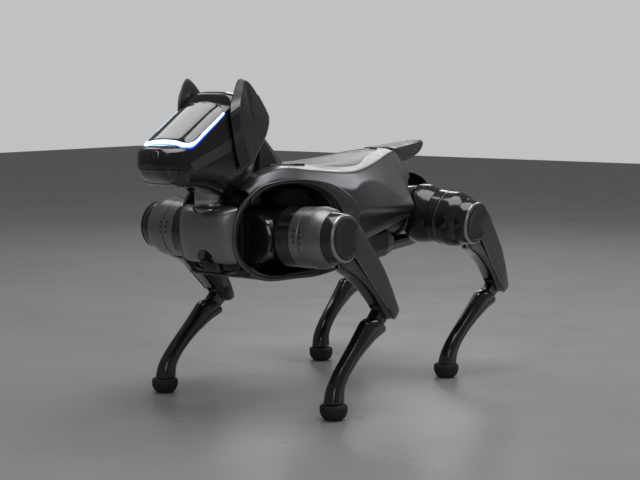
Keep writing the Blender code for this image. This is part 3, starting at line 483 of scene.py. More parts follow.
# ---- torso --------------------------------------------------------------------------------------
# Rows of the back shell: x, then (y, z) from the sill up to the centre. Corners are soft creases.
SHELL_ROWS = (
    (0.2354, ((0.0550, 0.2080), (0.0575, 0.2140), (0.0585, 0.2700), (0.0582, 0.3000), (0.0572, 0.3200),
              (0.0480, 0.3292), (0.0240, 0.3340), (0.0, 0.3352))),
    (0.2050, ((0.0640, 0.1995), (0.0655, 0.2060), (0.0665, 0.2700), (0.0664, 0.3160), (0.0650, 0.3385),
              (0.0530, 0.3490), (0.0260, 0.3520), (0.0, 0.3527))),
    (0.1600, ((0.0765, 0.1995), (0.0780, 0.2060), (0.0792, 0.2700), (0.0790, 0.3160), (0.0775, 0.3425),
              (0.0600, 0.3580), (0.0300, 0.3605), (0.0, 0.3612))),
    (0.1160, ((0.0885, 0.2010), (0.0900, 0.2080), (0.0915, 0.2700), (0.0915, 0.3020), (0.0905, 0.3345),
              (0.0730, 0.3535), (0.0360, 0.3595), (0.0, 0.3602))),
    (0.0600, ((0.0985, 0.2130), (0.1010, 0.2260), (0.1035, 0.2780), (0.1085, 0.2920), (0.1045, 0.3230),
              (0.0870, 0.3475), (0.0420, 0.3585), (0.0, 0.3594))),
    (0.0200, ((0.0960, 0.2400), (0.0990, 0.2520), (0.0992, 0.2830), (0.1085, 0.2915), (0.0985, 0.3330),
              (0.0872, 0.3475), (0.0420, 0.3590), (0.0, 0.3602))),
    (-0.0300, ((0.0930, 0.2520), (0.0960, 0.2620), (0.0960, 0.2810), (0.1055, 0.2890), (0.0915, 0.3310),
               (0.0765, 0.3530), (0.0380, 0.3615), (0.0, 0.3640))),
    (-0.0800, ((0.0890, 0.2620), (0.0915, 0.2680), (0.0915, 0.2790), (0.1000, 0.2870), (0.0925, 0.3085),
               (0.0610, 0.3600), (0.0320, 0.3660), (0.0, 0.3685))),
    (-0.1300, ((0.0850, 0.2700), (0.0870, 0.2735), (0.0875, 0.2780), (0.0945, 0.2850), (0.0905, 0.2920),
               (0.0430, 0.3668), (0.0230, 0.3708), (0.0, 0.3722))),
    (-0.1620, ((0.0820, 0.2770), (0.0830, 0.2790), (0.0840, 0.2815), (0.0895, 0.2870), (0.0855, 0.2955),
               (0.0330, 0.3692), (0.0180, 0.3727), (0.0, 0.3737))),
)
# Wheel arch seen from the side, clockwise from the front: outer edge of the rim and the opening.
RIM_OUTER = (
    (0.2659, 0.2627), (0.2642, 0.2835), (0.2576, 0.3012), (0.2444, 0.3175), (0.2280, 0.3305),
    (0.2147, 0.3370), (0.1879, 0.3412), (0.1538, 0.3420), (0.1278, 0.3400), (0.1014, 0.3345),
    (0.0836, 0.3270), (0.0655, 0.3150), (0.0527, 0.3020), (0.0480, 0.2900), (0.0480, 0.2780),
    (0.0505, 0.2640), (0.0570, 0.2450), (0.0680, 0.2290), (0.0820, 0.2180), (0.0990, 0.2110),
    (0.1279, 0.2055), (0.1541, 0.2034), (0.1799, 0.2027), (0.2053, 0.2034), (0.2286, 0.2096),
    (0.2451, 0.2194), (0.2548, 0.2290), (0.2620, 0.2420),
)
RIM_INNER = (
    (0.2545, 0.2622), (0.2510, 0.2826), (0.2440, 0.2995), (0.2325, 0.3150), (0.2190, 0.3260),
    (0.2050, 0.3325), (0.1830, 0.3368), (0.1538, 0.3372), (0.1300, 0.3330), (0.1080, 0.3235),
    (0.0950, 0.3130), (0.0850, 0.3000), (0.0790, 0.2900), (0.0755, 0.2780), (0.0745, 0.2660),
    (0.0755, 0.2520), (0.0790, 0.2390), (0.0860, 0.2260), (0.0960, 0.2165), (0.1090, 0.2100),
    (0.1300, 0.2068), (0.1541, 0.2056), (0.1799, 0.2054), (0.2030, 0.2070), (0.2230, 0.2140),
    (0.2370, 0.2240), (0.2460, 0.2340), (0.2525, 0.2460),
)
LOOP_STEPS = 4
ARCH_X, ARCH_Z = 0.165, 0.269  # middle of the arch
FLANK_NEAR = 0.070  # where cutters for the flank start, from the centre plane
BUTTON_X = -0.1480
INLAY_HEIGHTS = (0.33, 0.39)  # span of the cutter round the back inlay


def rim_y(x):
    """Half width of the vertical plane that holds the arch rim."""
    return 0.1234 - 0.28 * x


def shell_skin(first, last, inset=0.0, lift=0.0, corner=0.0045):
    rows = [(r[0], *[c for point in r[1] for c in point]) for r in SHELL_ROWS]
    rings = []
    for row in smooth_curve(rows, 6):
        x = row[0]
        if not last - 0.001 <= x <= first + 0.001:
            continue
        half = [(y * (1 - inset), z + lift) for y, z in zip(row[1::2], row[2::2])]
        chain = rounded_chain(half, corner, 4)
        rings.append([(x, -p.x, p.y) for p in chain[:-1]] + [(x, p.x, p.y) for p in chain[::-1]])
    return loft(rings, closed=False, capped=False)


def inset_outline(grow):
    """The dark triangular panel low on each flank, from the side."""
    middle = Vector((-0.010, 0.2730))
    corners = [(0.0415, 0.2862), (-0.1290, 0.2765), (-0.0750, 0.2690), (0.0080, 0.2560), (0.0330, 0.2545),
               (0.0420, 0.2620)]
    loop = rounded_chain(corners + corners[:2], 0.004, 3)[5:]
    return [tuple(p + (p - middle).normalized() * grow) for p in loop[:len(corners) * 4]]


def inlay_ring(grow, z):
    """The long dark oval on the back, widest ahead of its middle and pinched towards the tail."""
    half = ((0.105, 0.0), (0.100, 0.022), (0.086, 0.040), (0.060, 0.0535), (0.028, 0.0620), (0.000, 0.0640),
            (-0.022, 0.0600), (-0.045, 0.0490), (-0.072, 0.0370), (-0.100, 0.0275), (-0.128, 0.0190),
            (-0.140, 0.0100), (-0.144, 0.0))
    curve = smooth_curve(half, 4)
    loop = curve + [(x, -y) for x, y in curve[-2:0:-1]]
    middle = Vector((-0.02, 0.0))
    ring = []
    for x, y in loop:
        p = Vector((x, y))
        p += (p - middle).normalized() * grow
        ring.append((p.x, p.y, z))
    return ring


def hip_relief(sign):
    """Clearance for the rear hips at three roll angles."""
    found = []
    for roll in (-20, -4, 14):
        relief = flipped(rod(0.0520, 0.002, 0.075, segments=56), sign)
        relief.transform(Matrix.Translation((-HIP_X, sign * ABAD_Y, hip_height("rear")))
                         @ Matrix.Rotation(math.radians(sign * roll), 4, "X"))
        found.append(relief)
    return found


def build_back():
    cuts = []
    for side, sign in SIDES:
        cuts += [side_plate(smooth_loop(RIM_INNER, LOOP_STEPS), sign),
                 side_plate(inset_outline(0.0006), sign, FLANK_NEAR), *hip_relief(sign)]
    cuts.append(box((0.1550, 0.0670, 0.08), (0.2035, 0, 0.345)))  # collar opening
    cuts.append(rod(0.0066, 0.35, 0.39, segments=40, axis="Z", centre=(BUTTON_X, 0, 0)))
    cuts.append(loft([inlay_ring(0.0007, z) for z in INLAY_HEIGHTS]))
    piece("back_shell_skin", shell_skin(0.2354, -0.17), "gunmetal_paint",
          cutters=cuts, wall=0.003, replaces=["back_shell"], sharp=38, bevel=0.0006, segments=2, angle=50)
    keep = loft([inlay_ring(0.0, z) for z in INLAY_HEIGHTS])
    piece("back_inlay_skin", shell_skin(0.12, -0.17, lift=-0.0006), "black_satin",
          cutters=[("INTERSECT", keep)], wall=0.003, replaces=["back_inlay"], sharp=40, bevel=0.0005,
          segments=2, angle=50)
    for side, sign in SIDES:
        panel = side_plate(inset_outline(-0.0002), sign, FLANK_NEAR)
        piece(f"flank_inset_{side}", shell_skin(0.08, -0.15, inset=0.026), "black_satin",
              cutters=[("INTERSECT", panel)], wall=0.0015, bevel=0.0004, segments=2)
        # thin dark slit beside the collar opening
        slit = [(x, sign * y, z) for x, y, z in ((0.166, 0.0350, 0.3606), (0.140, 0.0362, 0.3612),
                                                 (0.115, 0.0382, 0.3604), (0.094, 0.0430, 0.3590))]
        piece(f"collar_slit_{side}", tube(smooth_curve(slit, 4), 0.0012, 8), "black_gloss")


def build_arch(side, sign):
    """The raised satin rim of the wheel arch and the glossy dish inside it."""
    outer = smooth_loop(RIM_OUTER, LOOP_STEPS)
    inner = smooth_loop(RIM_INNER, LOOP_STEPS)

    def ring(share, lift):
        found = []
        for (ox, oz), (ix, iz) in zip(outer, inner):
            x, z = ox + (ix - ox) * share, oz + (iz - oz) * share
            found.append((x, sign * (rim_y(x) + lift), z))
        return found

    rim = ((0.0, -0.0030), (0.0, 0.0004), (0.06, 0.0017), (0.14, 0.0021), (0.24, 0.0016), (0.55, -0.0004),
           (0.86, -0.0030), (0.97, -0.0044), (1.0, -0.0062), (1.0, -0.0100), (0.80, -0.0085), (0.45, -0.0045))
    piece(f"arch_rim_{side}", ring_loft([ring(*step) for step in rim]), "gunmetal_paint", sharp=60)

    def dish(scale, depth):
        found = []
        for x, z in inner:
            px, pz = ARCH_X + (x - ARCH_X) * scale, ARCH_Z + (z - ARCH_Z) * scale
            found.append((px, sign * (rim_y(px) - depth), pz))
        return found

    bowl = ((0.999, 0.0066), (0.985, 0.0085), (0.965, 0.0140), (0.955, 0.0220), (0.950, 0.0340),
            (0.935, 0.0345), (0.935, 0.0220), (0.950, 0.0120), (0.975, 0.0075))
    piece(f"arch_dish_{side}", ring_loft([dish(*step) for step in bowl]), "black_gloss", sharp=50, replaces=[f"arch_liner_{side}"])


build_back()
for SIDE, SIGN in SIDES:
    build_arch(SIDE, SIGN)


CHEST_ROWS = (  # z, foremost x, half width
    (0.2275, 0.2660, 0.0480), (0.2300, 0.2715, 0.0505), (0.2370, 0.2765, 0.0520), (0.2500, 0.2815, 0.0528),
    (0.2700, 0.2855, 0.0528), (0.2850, 0.2862, 0.0528), (0.2950, 0.2838, 0.0527), (0.3015, 0.2780, 0.0525),
    (0.3055, 0.2690, 0.0520), (0.3075, 0.2590, 0.0510), (0.3085, 0.2470, 0.0490),
)
CHEST_BACK = 0.2362
NOTCH_Y, NOTCH_HALF, NOTCH_TOP = 0.007, 0.0130, 0.2480
SENSOR_CENTRE = (0, NOTCH_Y, 0.2365)


def notch_outline(grow):
    """The arch-shaped opening at the bottom of the chest, as (y, z)."""
    half, top = NOTCH_HALF + grow, NOTCH_TOP + grow
    arc = [(NOTCH_Y + half * math.cos(math.pi * i / 16), top - half + half * math.sin(math.pi * i / 16))
           for i in range(17)]
    return [(NOTCH_Y + half, 0.215), *arc, (NOTCH_Y - half, 0.215)]


def build_chest():
    rings = []
    for z, front, half in smooth_curve(CHEST_ROWS, 5):
        arc = superellipse(front - CHEST_BACK, half, 2.7, 49, -math.pi / 2, math.pi)
        rings.append([(CHEST_BACK + a, b, z) for a, b in arc])
    arch = smooth_loop(RIM_OUTER, LOOP_STEPS)
    cuts = [side_plate(arch, sign) for _, sign in SIDES]
    cuts += [rod(0.0236, 0.28, 0.36, axis="Z", centre=NECK_CENTRE), front_plate(notch_outline(0), 0.24, 0.30)]
    piece("chest_skin", loft(rings, closed=False, capped=False), "chest_paint", cutters=cuts, wall=0.0026,
          bevel=0.0007, angle=50, replaces=["chest_shell"], sharp=40)
    recess = front_plate(notch_outline(-0.0003), 0.2520, 0.2640)
    dimple = rod(0.0085, 0.2600, 0.2680, 0.0100, 48, "X", SENSOR_CENTRE)
    piece("chest_recess", recess, "black_gloss", cutters=[dimple], bevel=0.0004, segments=2,
          replaces=["chest_sensor"])
    lens = ((0, 0.256), (0.0072, 0.256), (0.0072, 0.2602), (0.0040, 0.2618), (0, 0.2624))
    piece("chest_lens", turned(lens, 48, "X", SENSOR_CENTRE), "lens_glass")


def build_neck():
    tube_profile = ((0, 0.2900), (0.0213, 0.2900), (0.0213, 0.3100), (0.0206, 0.3106), (0.0206, 0.3112),
                    (0.0213, 0.3118), (0.0213, 0.3180), (0.0209, 0.3183), (0.0209, 0.3188), (0.0213, 0.3191),
                    (0.0213, 0.3400), (0, 0.3400))
    piece("neck_tube_skin", turned(tube_profile, 96, "Z", NECK_CENTRE), "neck_metal", replaces=["neck_tube"],
          sharp=50)
    collar = ((0.0216, 0.3050), (0.0238, 0.3050), (0.0238, 0.3078), (0.0230, 0.3084), (0.0216, 0.3080))
    piece("neck_collar", turned_ring(collar, 96, "Z", NECK_CENTRE), "black_gloss", sharp=50)
    outline = ((0.2340, 0.3107), (0.2340, 0.3185), (0.2180, 0.3215), (0.2000, 0.3320), (0.1885, 0.3450),
               (0.1855, 0.3600), (0.1855, 0.3960), (0.1760, 0.3990), (0.1360, 0.3560), (0.1360, 0.3312),
               (0.1880, 0.3312), (0.1900, 0.3107))
    cuts = [box((0.12, 0.034, 0.0016), (0.215, 0, 0.3215))]  # cable channel
    for i in range(4):
        x = 0.150 + 0.008 * i
        rib = ((x, 0.335), (0.152 + 0.008 * i, 0.335), (0.152 + 0.008 * i, 0.352), (x, 0.352))
        cuts += [flipped(plate(rib, 0.0312, 0.034), sign) for _, sign in SIDES]
    piece("neck_shroud_skin", plate(outline, -0.0320, 0.0320), "black_satin", bevel=0.0030, segments=5,
          replaces=["neck_shroud"], cutters=cuts, angle=25)
    strap = ((0.1762, 0.3998), (0.1730, 0.4030), (0.1285, 0.3640), (0.1300, 0.3575), (0.1352, 0.3560))
    line = ((0.1800, 0.4066), (0.1788, 0.4080), (0.1230, 0.3592), (0.1242, 0.3578))
    for side, sign in SIDES:
        bead = [(x, sign * 0.0130, z) for x, z in ((0.1725, 0.4023), (0.1290, 0.3642))]
        piece(f"strap_line_{side}", tube(bead, 0.0010, 10), "black_gloss")
    piece("neck_strap_skin", plate(strap, -0.0285, 0.0285), "neck_metal",
          cutters=[side_plate(line, sign, 0.0120, 0.0140) for _, sign in SIDES], bevel=0.0010, segments=4,
          replaces=["neck_strap"], angle=20)


HEAD_ROWS = (  # x, bottom, top, half width
    (0.1900, 0.3600, 0.4300, 0.0250), (0.1935, 0.3480, 0.4420, 0.0320), (0.2020, 0.3360, 0.4530, 0.0375),
    (0.2200, 0.3250, 0.4635, 0.0415), (0.2400, 0.3210, 0.4665, 0.0432), (0.2520, 0.3205, 0.4655, 0.0437),
    (0.2590, 0.3208, 0.4606, 0.0438), (0.2665, 0.3222, 0.4521, 0.0437), (0.2780, 0.3265, 0.4450, 0.0434),
    (0.2920, 0.3312, 0.4365, 0.0430), (0.3150, 0.3360, 0.4224, 0.0423), (0.3350, 0.3375, 0.4102, 0.0417),
    (0.3430, 0.3378, 0.4053, 0.0414), (0.3472, 0.3382, 0.4022, 0.0407), (0.3515, 0.3395, 0.3975, 0.0397),
    (0.3600, 0.3430, 0.3960, 0.0366), (0.3670, 0.3470, 0.3950, 0.0331), (0.3730, 0.3515, 0.3936, 0.0291),
    (0.3775, 0.3560, 0.3916, 0.0246), (0.3810, 0.3610, 0.3886, 0.0196), (0.3835, 0.3665, 0.3846, 0.0141),
    (0.3850, 0.3725, 0.3795, 0.0070),
)
CROWN_SHARES = (0.0, 0.2, 0.38, 0.53, 0.66, 0.76, 0.84, 0.90, 0.95, 0.985)


def head_ring(x, low, high, half, grow=0.0):
    """A section of the head: crowned top, upright cheeks and a tucked-in chin."""
    half, high, low = half + grow, high + grow, low - grow
    height = high - low
    drop = min(0.0085, 0.17 * height)
    top = [(half * s, high - drop * s ** 3.6) for s in CROWN_SHARES]
    side = ((half, high - drop * 1.35), (half, high - 0.42 * height), (half * 0.985, low + 0.33 * height),
            (half * 0.90, low + 0.14 * height), (half * 0.70, low + 0.035 * height), (half * 0.35, low),
            (0.0, low))
    chain = top + smooth_curve(side, 4)
    return [(x, y, z) for y, z in chain] + [(x, -y, z) for y, z in chain[-2:0:-1]]


def head_solid(grow=0.0):
    return loft([head_ring(*row, grow=grow) for row in smooth_curve(HEAD_ROWS, 4)])


def slope_z(x):
    """Height of the visor's slope on the centre line."""
    return 0.401 + (0.35 - x) * 0.612


def visor_prism(grow, low, high):
    """A block with the visor's outline, between two heights above its slope."""
    half = ((0.3472, 0.0), (0.3475, 0.0180), (0.3474, 0.0285), (0.3458, 0.0345), (0.3425, 0.0385),
            (0.3370, 0.0402), (0.3150, 0.0404), (0.2770, 0.0404), (0.2745, 0.0385), (0.2685, 0.0220),
            (0.2657, 0.0))
    middle = Vector((0.31, 0.0))
    loop = []
    for x, y in half + tuple((x, -y) for x, y in half[-2:0:-1]):
        p = Vector((x, y))
        p += (p - middle).normalized() * grow
        loop.append(tuple(p))
    return loft([[(x, y, slope_z(x) + lift) for x, y in loop] for lift in (low, high)])


STRIP_HALF = (  # inner edge and outer edge of the light strip, from the centre to the rear of one side
    ((0.3472, 0.0, 0.4030), (0.3514, 0.0, 0.3978)), ((0.3477, 0.018, 0.4022), (0.3516, 0.018, 0.3966)),
    ((0.3478, 0.029, 0.4004), (0.3513, 0.031, 0.3945)), ((0.3440, 0.0375, 0.3985), (0.3464, 0.0400, 0.3935)),
    ((0.3355, 0.0407, 0.4012), (0.3355, 0.0421, 0.3968)), ((0.3149, 0.0410, 0.4140), (0.3149, 0.0427, 0.4104)),
    ((0.2935, 0.0412, 0.4272), (0.2935, 0.0434, 0.4245)), ((0.2760, 0.0413, 0.4388), (0.2760, 0.0438, 0.4368)),
)


STRIP_SINK = 0.0012  # depth of the strip in the head
STRIP_FRONT_X = 0.349  # ahead of this the painted glow spreads forward over the nose
GLOW_WIDTH, GLOW_STEPS = 0.0062, 8


def strip_path():
    """Pairs of inner and outer points from the rear right, round the front, to the rear left."""
    curve = smooth_curve([(*a, *b) for a, b in STRIP_HALF], 6)
    mirrored = [(r[0], -r[1], r[2], r[3], -r[4], r[5]) for r in curve[:0:-1]]
    return [(Vector(r[:3]), Vector(r[3:])) for r in mirrored + curve]


def build_strip():
    """The lit strip and the painted glow of its light on the plastic below it, both laid on an uncut copy of the
    head.
    """
    guide = bpy.data.objects.new("guide", head_solid())
    bpy.context.scene.collection.objects.link(guide)
    bpy.context.view_layer.update()
    surface = BVHTree.FromObject(guide, bpy.context.evaluated_depsgraph_get())

    def on_skin(point, lift):
        hit, normal, _, _ = surface.find_nearest(point)
        return hit + normal * lift

    rings, glow_rows = [], []
    for inner, outer in strip_path():
        core = inner.lerp(outer, 0.5)
        section = ((inner, 0.0005), (core, 0.0010), (outer, 0.0004), (outer, -STRIP_SINK), (inner, -STRIP_SINK))
        rings.append([tuple(on_skin(point, lift)) for point, lift in section])
        reach = (outer - inner).normalized() * GLOW_WIDTH
        if outer.x > STRIP_FRONT_X:
            reach = Vector((0.0055, 0, -0.0012))
        shares = [k / GLOW_STEPS for k in range(GLOW_STEPS + 1)]
        glow_rows.append([(on_skin(outer + reach * share, 0.00025), 1.0 - share) for share in shares])
    piece("light_strip_skin", loft(rings), "light_guide", replaces=["light_strip"], sharp=60)
    # painted light: the strip's glow on the black plastic beside it, as emission fading away from the strip
    bm = bmesh.new()
    fade = bm.verts.layers.float.new("fade")
    rows = []
    for glow_row in glow_rows:
        rows.append([bm.verts.new(point) for point, _ in glow_row])
        for vert, (_, left) in zip(rows[-1], glow_row):
            vert[fade] = left
    for first, second in zip(rows, rows[1:]):
        for i in range(GLOW_STEPS):
            bm.faces.new((first[i], first[i + 1], second[i + 1], second[i]))
    piece("painted_strip_glow", mesh_of(bm), "painted_strip_glow", sharp=70)
    bpy.data.objects.remove(guide)


CHEEK_LINES = (((0.3457, 0.3727), (0.2620, 0.4185)), ((0.3457, 0.3768), (0.2680, 0.4230)))
CHEEK_SEAT = ((0.3452, 0.3722), (0.2599, 0.4033), (0.2601, 0.3854), (0.3357, 0.3588))
CHEEK_PANEL = ((0.3446, 0.3718), (0.2605, 0.4026), (0.2607, 0.3859), (0.3354, 0.3594))
FACE_SEAM = ((0.2592, 0.330), (0.2598, 0.330), (0.2598, 0.452), (0.2592, 0.452))
FACE_FAR = 0.06  # beyond the cheeks
LENS_CENTRE = (0, 0.0125, 0.3838)


def build_head():
    cuts = [box((0.06, 0.08, 0.0222), (0.3905, 0, 0.3534)),  # depth window
            rod(0.0226, 0.30, 0.345, segments=64, axis="Z", centre=NECK_CENTRE),
            visor_prism(0.0006, -0.0150, 0.03),
            box((0.06, 0.08, 0.0300), (0.3757, 0, 0.3795))]  # nose
    for _, sign in SIDES:
        for (x0, z0), (x1, z1) in CHEEK_LINES:
            line = ((x0, z0), (x0, z0 + 0.0011), (x1, z1 + 0.0011), (x1, z1))
            cuts.append(side_plate(line, sign, 0.0412, FACE_FAR))
        cuts += [side_plate(CHEEK_SEAT, sign, 0.0405, FACE_FAR), side_plate(FACE_SEAM, sign, 0.0415, FACE_FAR)]
    piece("head_skin", head_solid(), "black_gloss", cutters=cuts, bevel=0.0004, segments=2, angle=40,
          replaces=["head_shell"], sharp=36)
    build_strip()
    for side, sign in SIDES:
        keep = side_plate(CHEEK_PANEL, sign, 0.0400, FACE_FAR)
        piece(f"cheek_panel_{side}", head_solid(-0.0001), "dark_cover", cutters=[("INTERSECT", keep)],
              bevel=0.0003, segments=2)
    keep = visor_prism(0.0, -0.0140, 0.03)
    piece("visor_skin", head_solid(0.0003), "visor_glass", cutters=[("INTERSECT", keep)], bevel=0.0005,
          angle=40, replaces=["face_visor"], sharp=40)
    lens_seat = rod(0.0057, 0.3790, 0.39, 0.0062, 48, "X", LENS_CENTRE)
    keep = box((0.06, 0.08, 0.0292), (0.3763, 0, 0.3795))
    piece("nose_skin", head_solid(0.0001), "black_gloss", cutters=[("INTERSECT", keep), lens_seat],
          bevel=0.0006, angle=40, replaces=["nose_module"])
    keep = box((0.06, 0.08, 0.0214), (0.3911, 0, 0.3534))
    piece("window_skin", head_solid(-0.0008), "visor_glass", cutters=[("INTERSECT", keep)], bevel=0.0004,
          segments=2, angle=40, replaces=["depth_window"])
    ring = ((0.0050, 0.3768), (0.0056, 0.3768), (0.0056, 0.3822), (0.0052, 0.3826), (0.0048, 0.3818))
    piece("lens_ring", turned_ring(ring, 56, "X", LENS_CENTRE), "trim_light")
    lens = ((0, 0.3766), (0.0049, 0.3766), (0.0049, 0.3802), (0.0036, 0.3812), (0.0018, 0.3818), (0, 0.3820))
    piece("lens_skin", turned(lens, 56, "X", LENS_CENTRE), "lens_glass", replaces=["camera_lens"])


EAR_FRONT = (  # outer crease and inner front edge, from the tip down, as (x, y, z)
    ((0.2460, 0.0545, 0.4815), (0.2499, 0.0490, 0.4842)),
    ((0.2520, 0.0570, 0.4680), (0.2617, 0.0470, 0.4626)),
    ((0.2566, 0.0575, 0.4556), (0.2683, 0.0470, 0.4447)),
    ((0.2588, 0.0577, 0.4310), (0.2642, 0.0470, 0.4214)),
    ((0.2506, 0.0576, 0.4075), (0.2559, 0.0470, 0.3867)),
    ((0.2380, 0.0570, 0.3780), (0.2475, 0.0470, 0.3656)),
    ((0.2334, 0.0560, 0.3660), (0.2390, 0.0475, 0.3575)),
)
EAR_REAR = (  # rear edge from the bottom up, as (x, z)
    (0.2200, 0.3829), (0.2019, 0.4060), (0.1950, 0.4254), (0.1994, 0.4381), (0.2194, 0.4621), (0.2369, 0.4787),
)


EAR_MIDDLE = Vector((0.2300, 0.0, 0.4230))
EAR_STEPS = 3


def ear_ring(points, sign, factor=1.0, y=None, lift=0.0):
    """A loop of the ear, scaled about its middle and optionally moved to one y."""
    found = []
    for px, py, pz in smooth_loop(points, EAR_STEPS):
        found.append((EAR_MIDDLE.x + (px - EAR_MIDDLE.x) * factor, sign * ((py if y is None else y) + lift),
                      EAR_MIDDLE.z + (pz - EAR_MIDDLE.z) * factor))
    return found


def build_ear(side, sign):
    crease = [a for a, _ in EAR_FRONT] + [(x, 0.0565, z) for x, z in EAR_REAR]
    edge = [b for _, b in EAR_FRONT] + [(x, 0.0470, z) for x, z in EAR_REAR]
    inside = ((0.30, 0.0490), (0.60, 0.0484), (0.66, 0.0456), (0.93, 0.0456), (0.985, 0.0460), (1.0, None))
    outside = ((1.0, 0.0), (0.975, 0.0006), (0.60, 0.0011), (0.25, 0.0014))
    rings = [ear_ring(edge, sign, factor, y) for factor, y in inside]
    rings += [ear_ring(crease, sign, factor, None, lift) for factor, lift in outside]
    piece(f"ear_skin_{side}", loft(rings), "dark_cover", bevel=0.0004, segments=2, replaces=[f"ear_{side}"],
          sharp=24, angle=30)
    # painted light and shade along the front: a light upper facet where light falls and a dark lower facet in
    # shade, then a painted highlight on the thin rim of the rear edge
    outer, inner = ear_ring(crease, sign), ear_ring(edge, sign)
    out = Vector((0.0006, 0.0004 * sign, 0))
    for tag, look, first, last in (("upper", "trim_light", 0, 2 * EAR_STEPS + 1),
                                   ("lower", "black_gloss", 2 * EAR_STEPS + 2, 5 * EAR_STEPS + 1)):
        rows = []
        for a, b in zip(outer[first:last + 1], inner[first:last + 1]):
            a, b = Vector(a).lerp(Vector(b), 0.07), Vector(a).lerp(Vector(b), 0.93)
            rows.append([tuple(p) for p in (a + out, b + out, b - out, a - out)])
        piece(f"ear_{tag}_{side}", loft(rows), look, sharp=50)
    # painted highlight: a light bead along the rim of the ear's rear edge
    rim = [tuple(Vector(p) + Vector((-0.0002, sign * 0.0004, -0.0002)))
           for p in outer[6 * EAR_STEPS + 1:11 * EAR_STEPS + 1]]
    piece(f"ear_rim_{side}", tube(rim, 0.0006, 8), "trim_light", sharp=70)


build_chest()
build_neck()
build_head()
for SIDE, SIGN in SIDES:
    build_ear(SIDE, SIGN)

# ---- legs ---------------------------------------------------------------------------------------
HUB_RADIUS = 0.0395
DRUM_RADIUS = 0.0430
DRUM_SEAM = -0.0267
DRUM_BULGE = 0.0434  # radius of the thigh's half of the drum at its slot
BORE_RADIUS = 0.0446
THIGH_FACE = 0.0297
GAP = 0.0004
SLEEVE_START = 0.066  # where the hip housing's outer sleeve begins, from the roll axis
PLUG_WIDTH = 4.5  # degrees
ROUND = 96  # segments of a drum


class Leg:
    """One leg: its corner, side and stance, and the row-frame places of its three bodies."""

    def __init__(self, corner, sign, which):
        self.corner, self.sign, self.which, self.front = corner, sign, which, which == "front"
        self.places = dict(zip(("hip", "thigh", "shank"), leg_frames(sign, which)))

    def add(self, part, name, mesh, look, cad=None, cutters=(), mirror=True, tail="", **shape):
        """Adds a piece that is modelled for the left side. cad is the kind of node that it replaces."""
        if mirror:
            mesh = flipped(mesh, self.sign)
            for cutter in cutters:
                flipped(cutter[1] if isinstance(cutter, tuple) else cutter, self.sign)
        piece(f"{name}_{self.corner}{tail}", mesh, look, f"{part}_{self.corner}", self.places[part],
              replaces=[f"{cad}_{self.corner}"] if cad else (), cutters=cutters, **shape)


def band(radius, low, high, wedge, lift=0.0006, steps=22):
    """A curved patch on a drum about Y. wedge gives its two edge angles in degrees at a share of its length."""
    rows = []
    for k in range(steps + 1):
        share = k / steps
        y = low + (high - low) * share
        first, last = wedge(share)
        angles = [math.radians(first + (last - first) * j / 8) for j in range(9)]
        rows.append([(r * math.cos(angle), y, r * math.sin(angle))
                     for r, order in ((radius + lift, angles), (radius - 0.001, angles[::-1])) for angle in order])
    return loft(rows)


def add_plugs(leg, part, name, low, high, angles, turn=0.0):
    """The row of small connector plugs beside a drum's seam."""
    for i, angle in enumerate(angles):
        start = angle + turn
        plug = band(DRUM_RADIUS, low, high, lambda share: (start, start + PLUG_WIDTH))
        leg.add(part, name, plug, "black_satin", tail=f"_{i}", sharp=40)


def build_hip(leg):
    outward = 1 if leg.front else -1
    seam = LEG_PLANE + DRUM_SEAM - GAP / 2
    low, high, edge = -outward * 0.0480, outward * 0.0470, outward * 0.0025
    hub = ((0, low), (HUB_RADIUS - 0.0025, low), (HUB_RADIUS, low + edge), (HUB_RADIUS, high - 4 * edge),
           (HUB_RADIUS - 0.0008, high - 3.8 * edge), (HUB_RADIUS - 0.0008, high - 3.4 * edge),
           (HUB_RADIUS, high - 3.2 * edge), (HUB_RADIUS, high - edge), (HUB_RADIUS - 0.0025, high),
           (HUB_RADIUS - 0.012, high), (HUB_RADIUS - 0.013, high - 0.4 * edge), (0, high - 0.4 * edge))
    leg.add("hip", "hip_hub", turned(hub, 80, "X"), "black_gloss", "hip_housing", mirror=False, sharp=40)
    if leg.front:
        inner = ((0, 0.020), (0.0385, 0.020), (0.0395, 0.0430), (0.0438, 0.0446), (0.0430, 0.0500),
                 (DRUM_RADIUS - 0.0004, SLEEVE_START - 0.0006), (0, SLEEVE_START - 0.0006))
    else:
        inner = ((0, 0.020), (0.0440, 0.026), (0.0478, 0.0320), (0.0478, 0.0440), (0.0455, 0.0540),
                 (DRUM_RADIUS, SLEEVE_START - 0.0006), (0, SLEEVE_START - 0.0006))
    leg.add("hip", "hip_drum", turned(inner, ROUND), "black_gloss", sharp=40)
    sleeve = ((0, SLEEVE_START), (DRUM_RADIUS - 0.0008, SLEEVE_START), (DRUM_RADIUS, SLEEVE_START + 0.0008),
              (DRUM_RADIUS, seam - 0.0008), (DRUM_RADIUS - 0.0008, seam), (0, seam))
    # painted light: the front legs' sleeves get the lighter chest paint and the rear legs' the black gloss, lit
    # and shaded copies of one drum finish
    leg.add("hip", "hip_sleeve", turned(sleeve, ROUND), "chest_paint" if leg.front else "black_gloss", sharp=40)
    leg.add("hip", "hip_seam", seam_ring(DRUM_RADIUS - 0.0002, SLEEVE_START + 0.0024),
            "trim_light" if leg.front else "dark_cover", sharp=40)
    slot = band(DRUM_RADIUS, SLEEVE_START + 0.004, seam - 0.0014, lambda share: (96 - 3 * share, 110 - 5 * share))
    leg.add("hip", "hip_slot", slot, "black_gloss" if leg.front else "dark_cover", sharp=40)
    add_plugs(leg, "hip", "hip_plug", seam - 0.0065, seam - 0.0040, (-6, 4, 14))


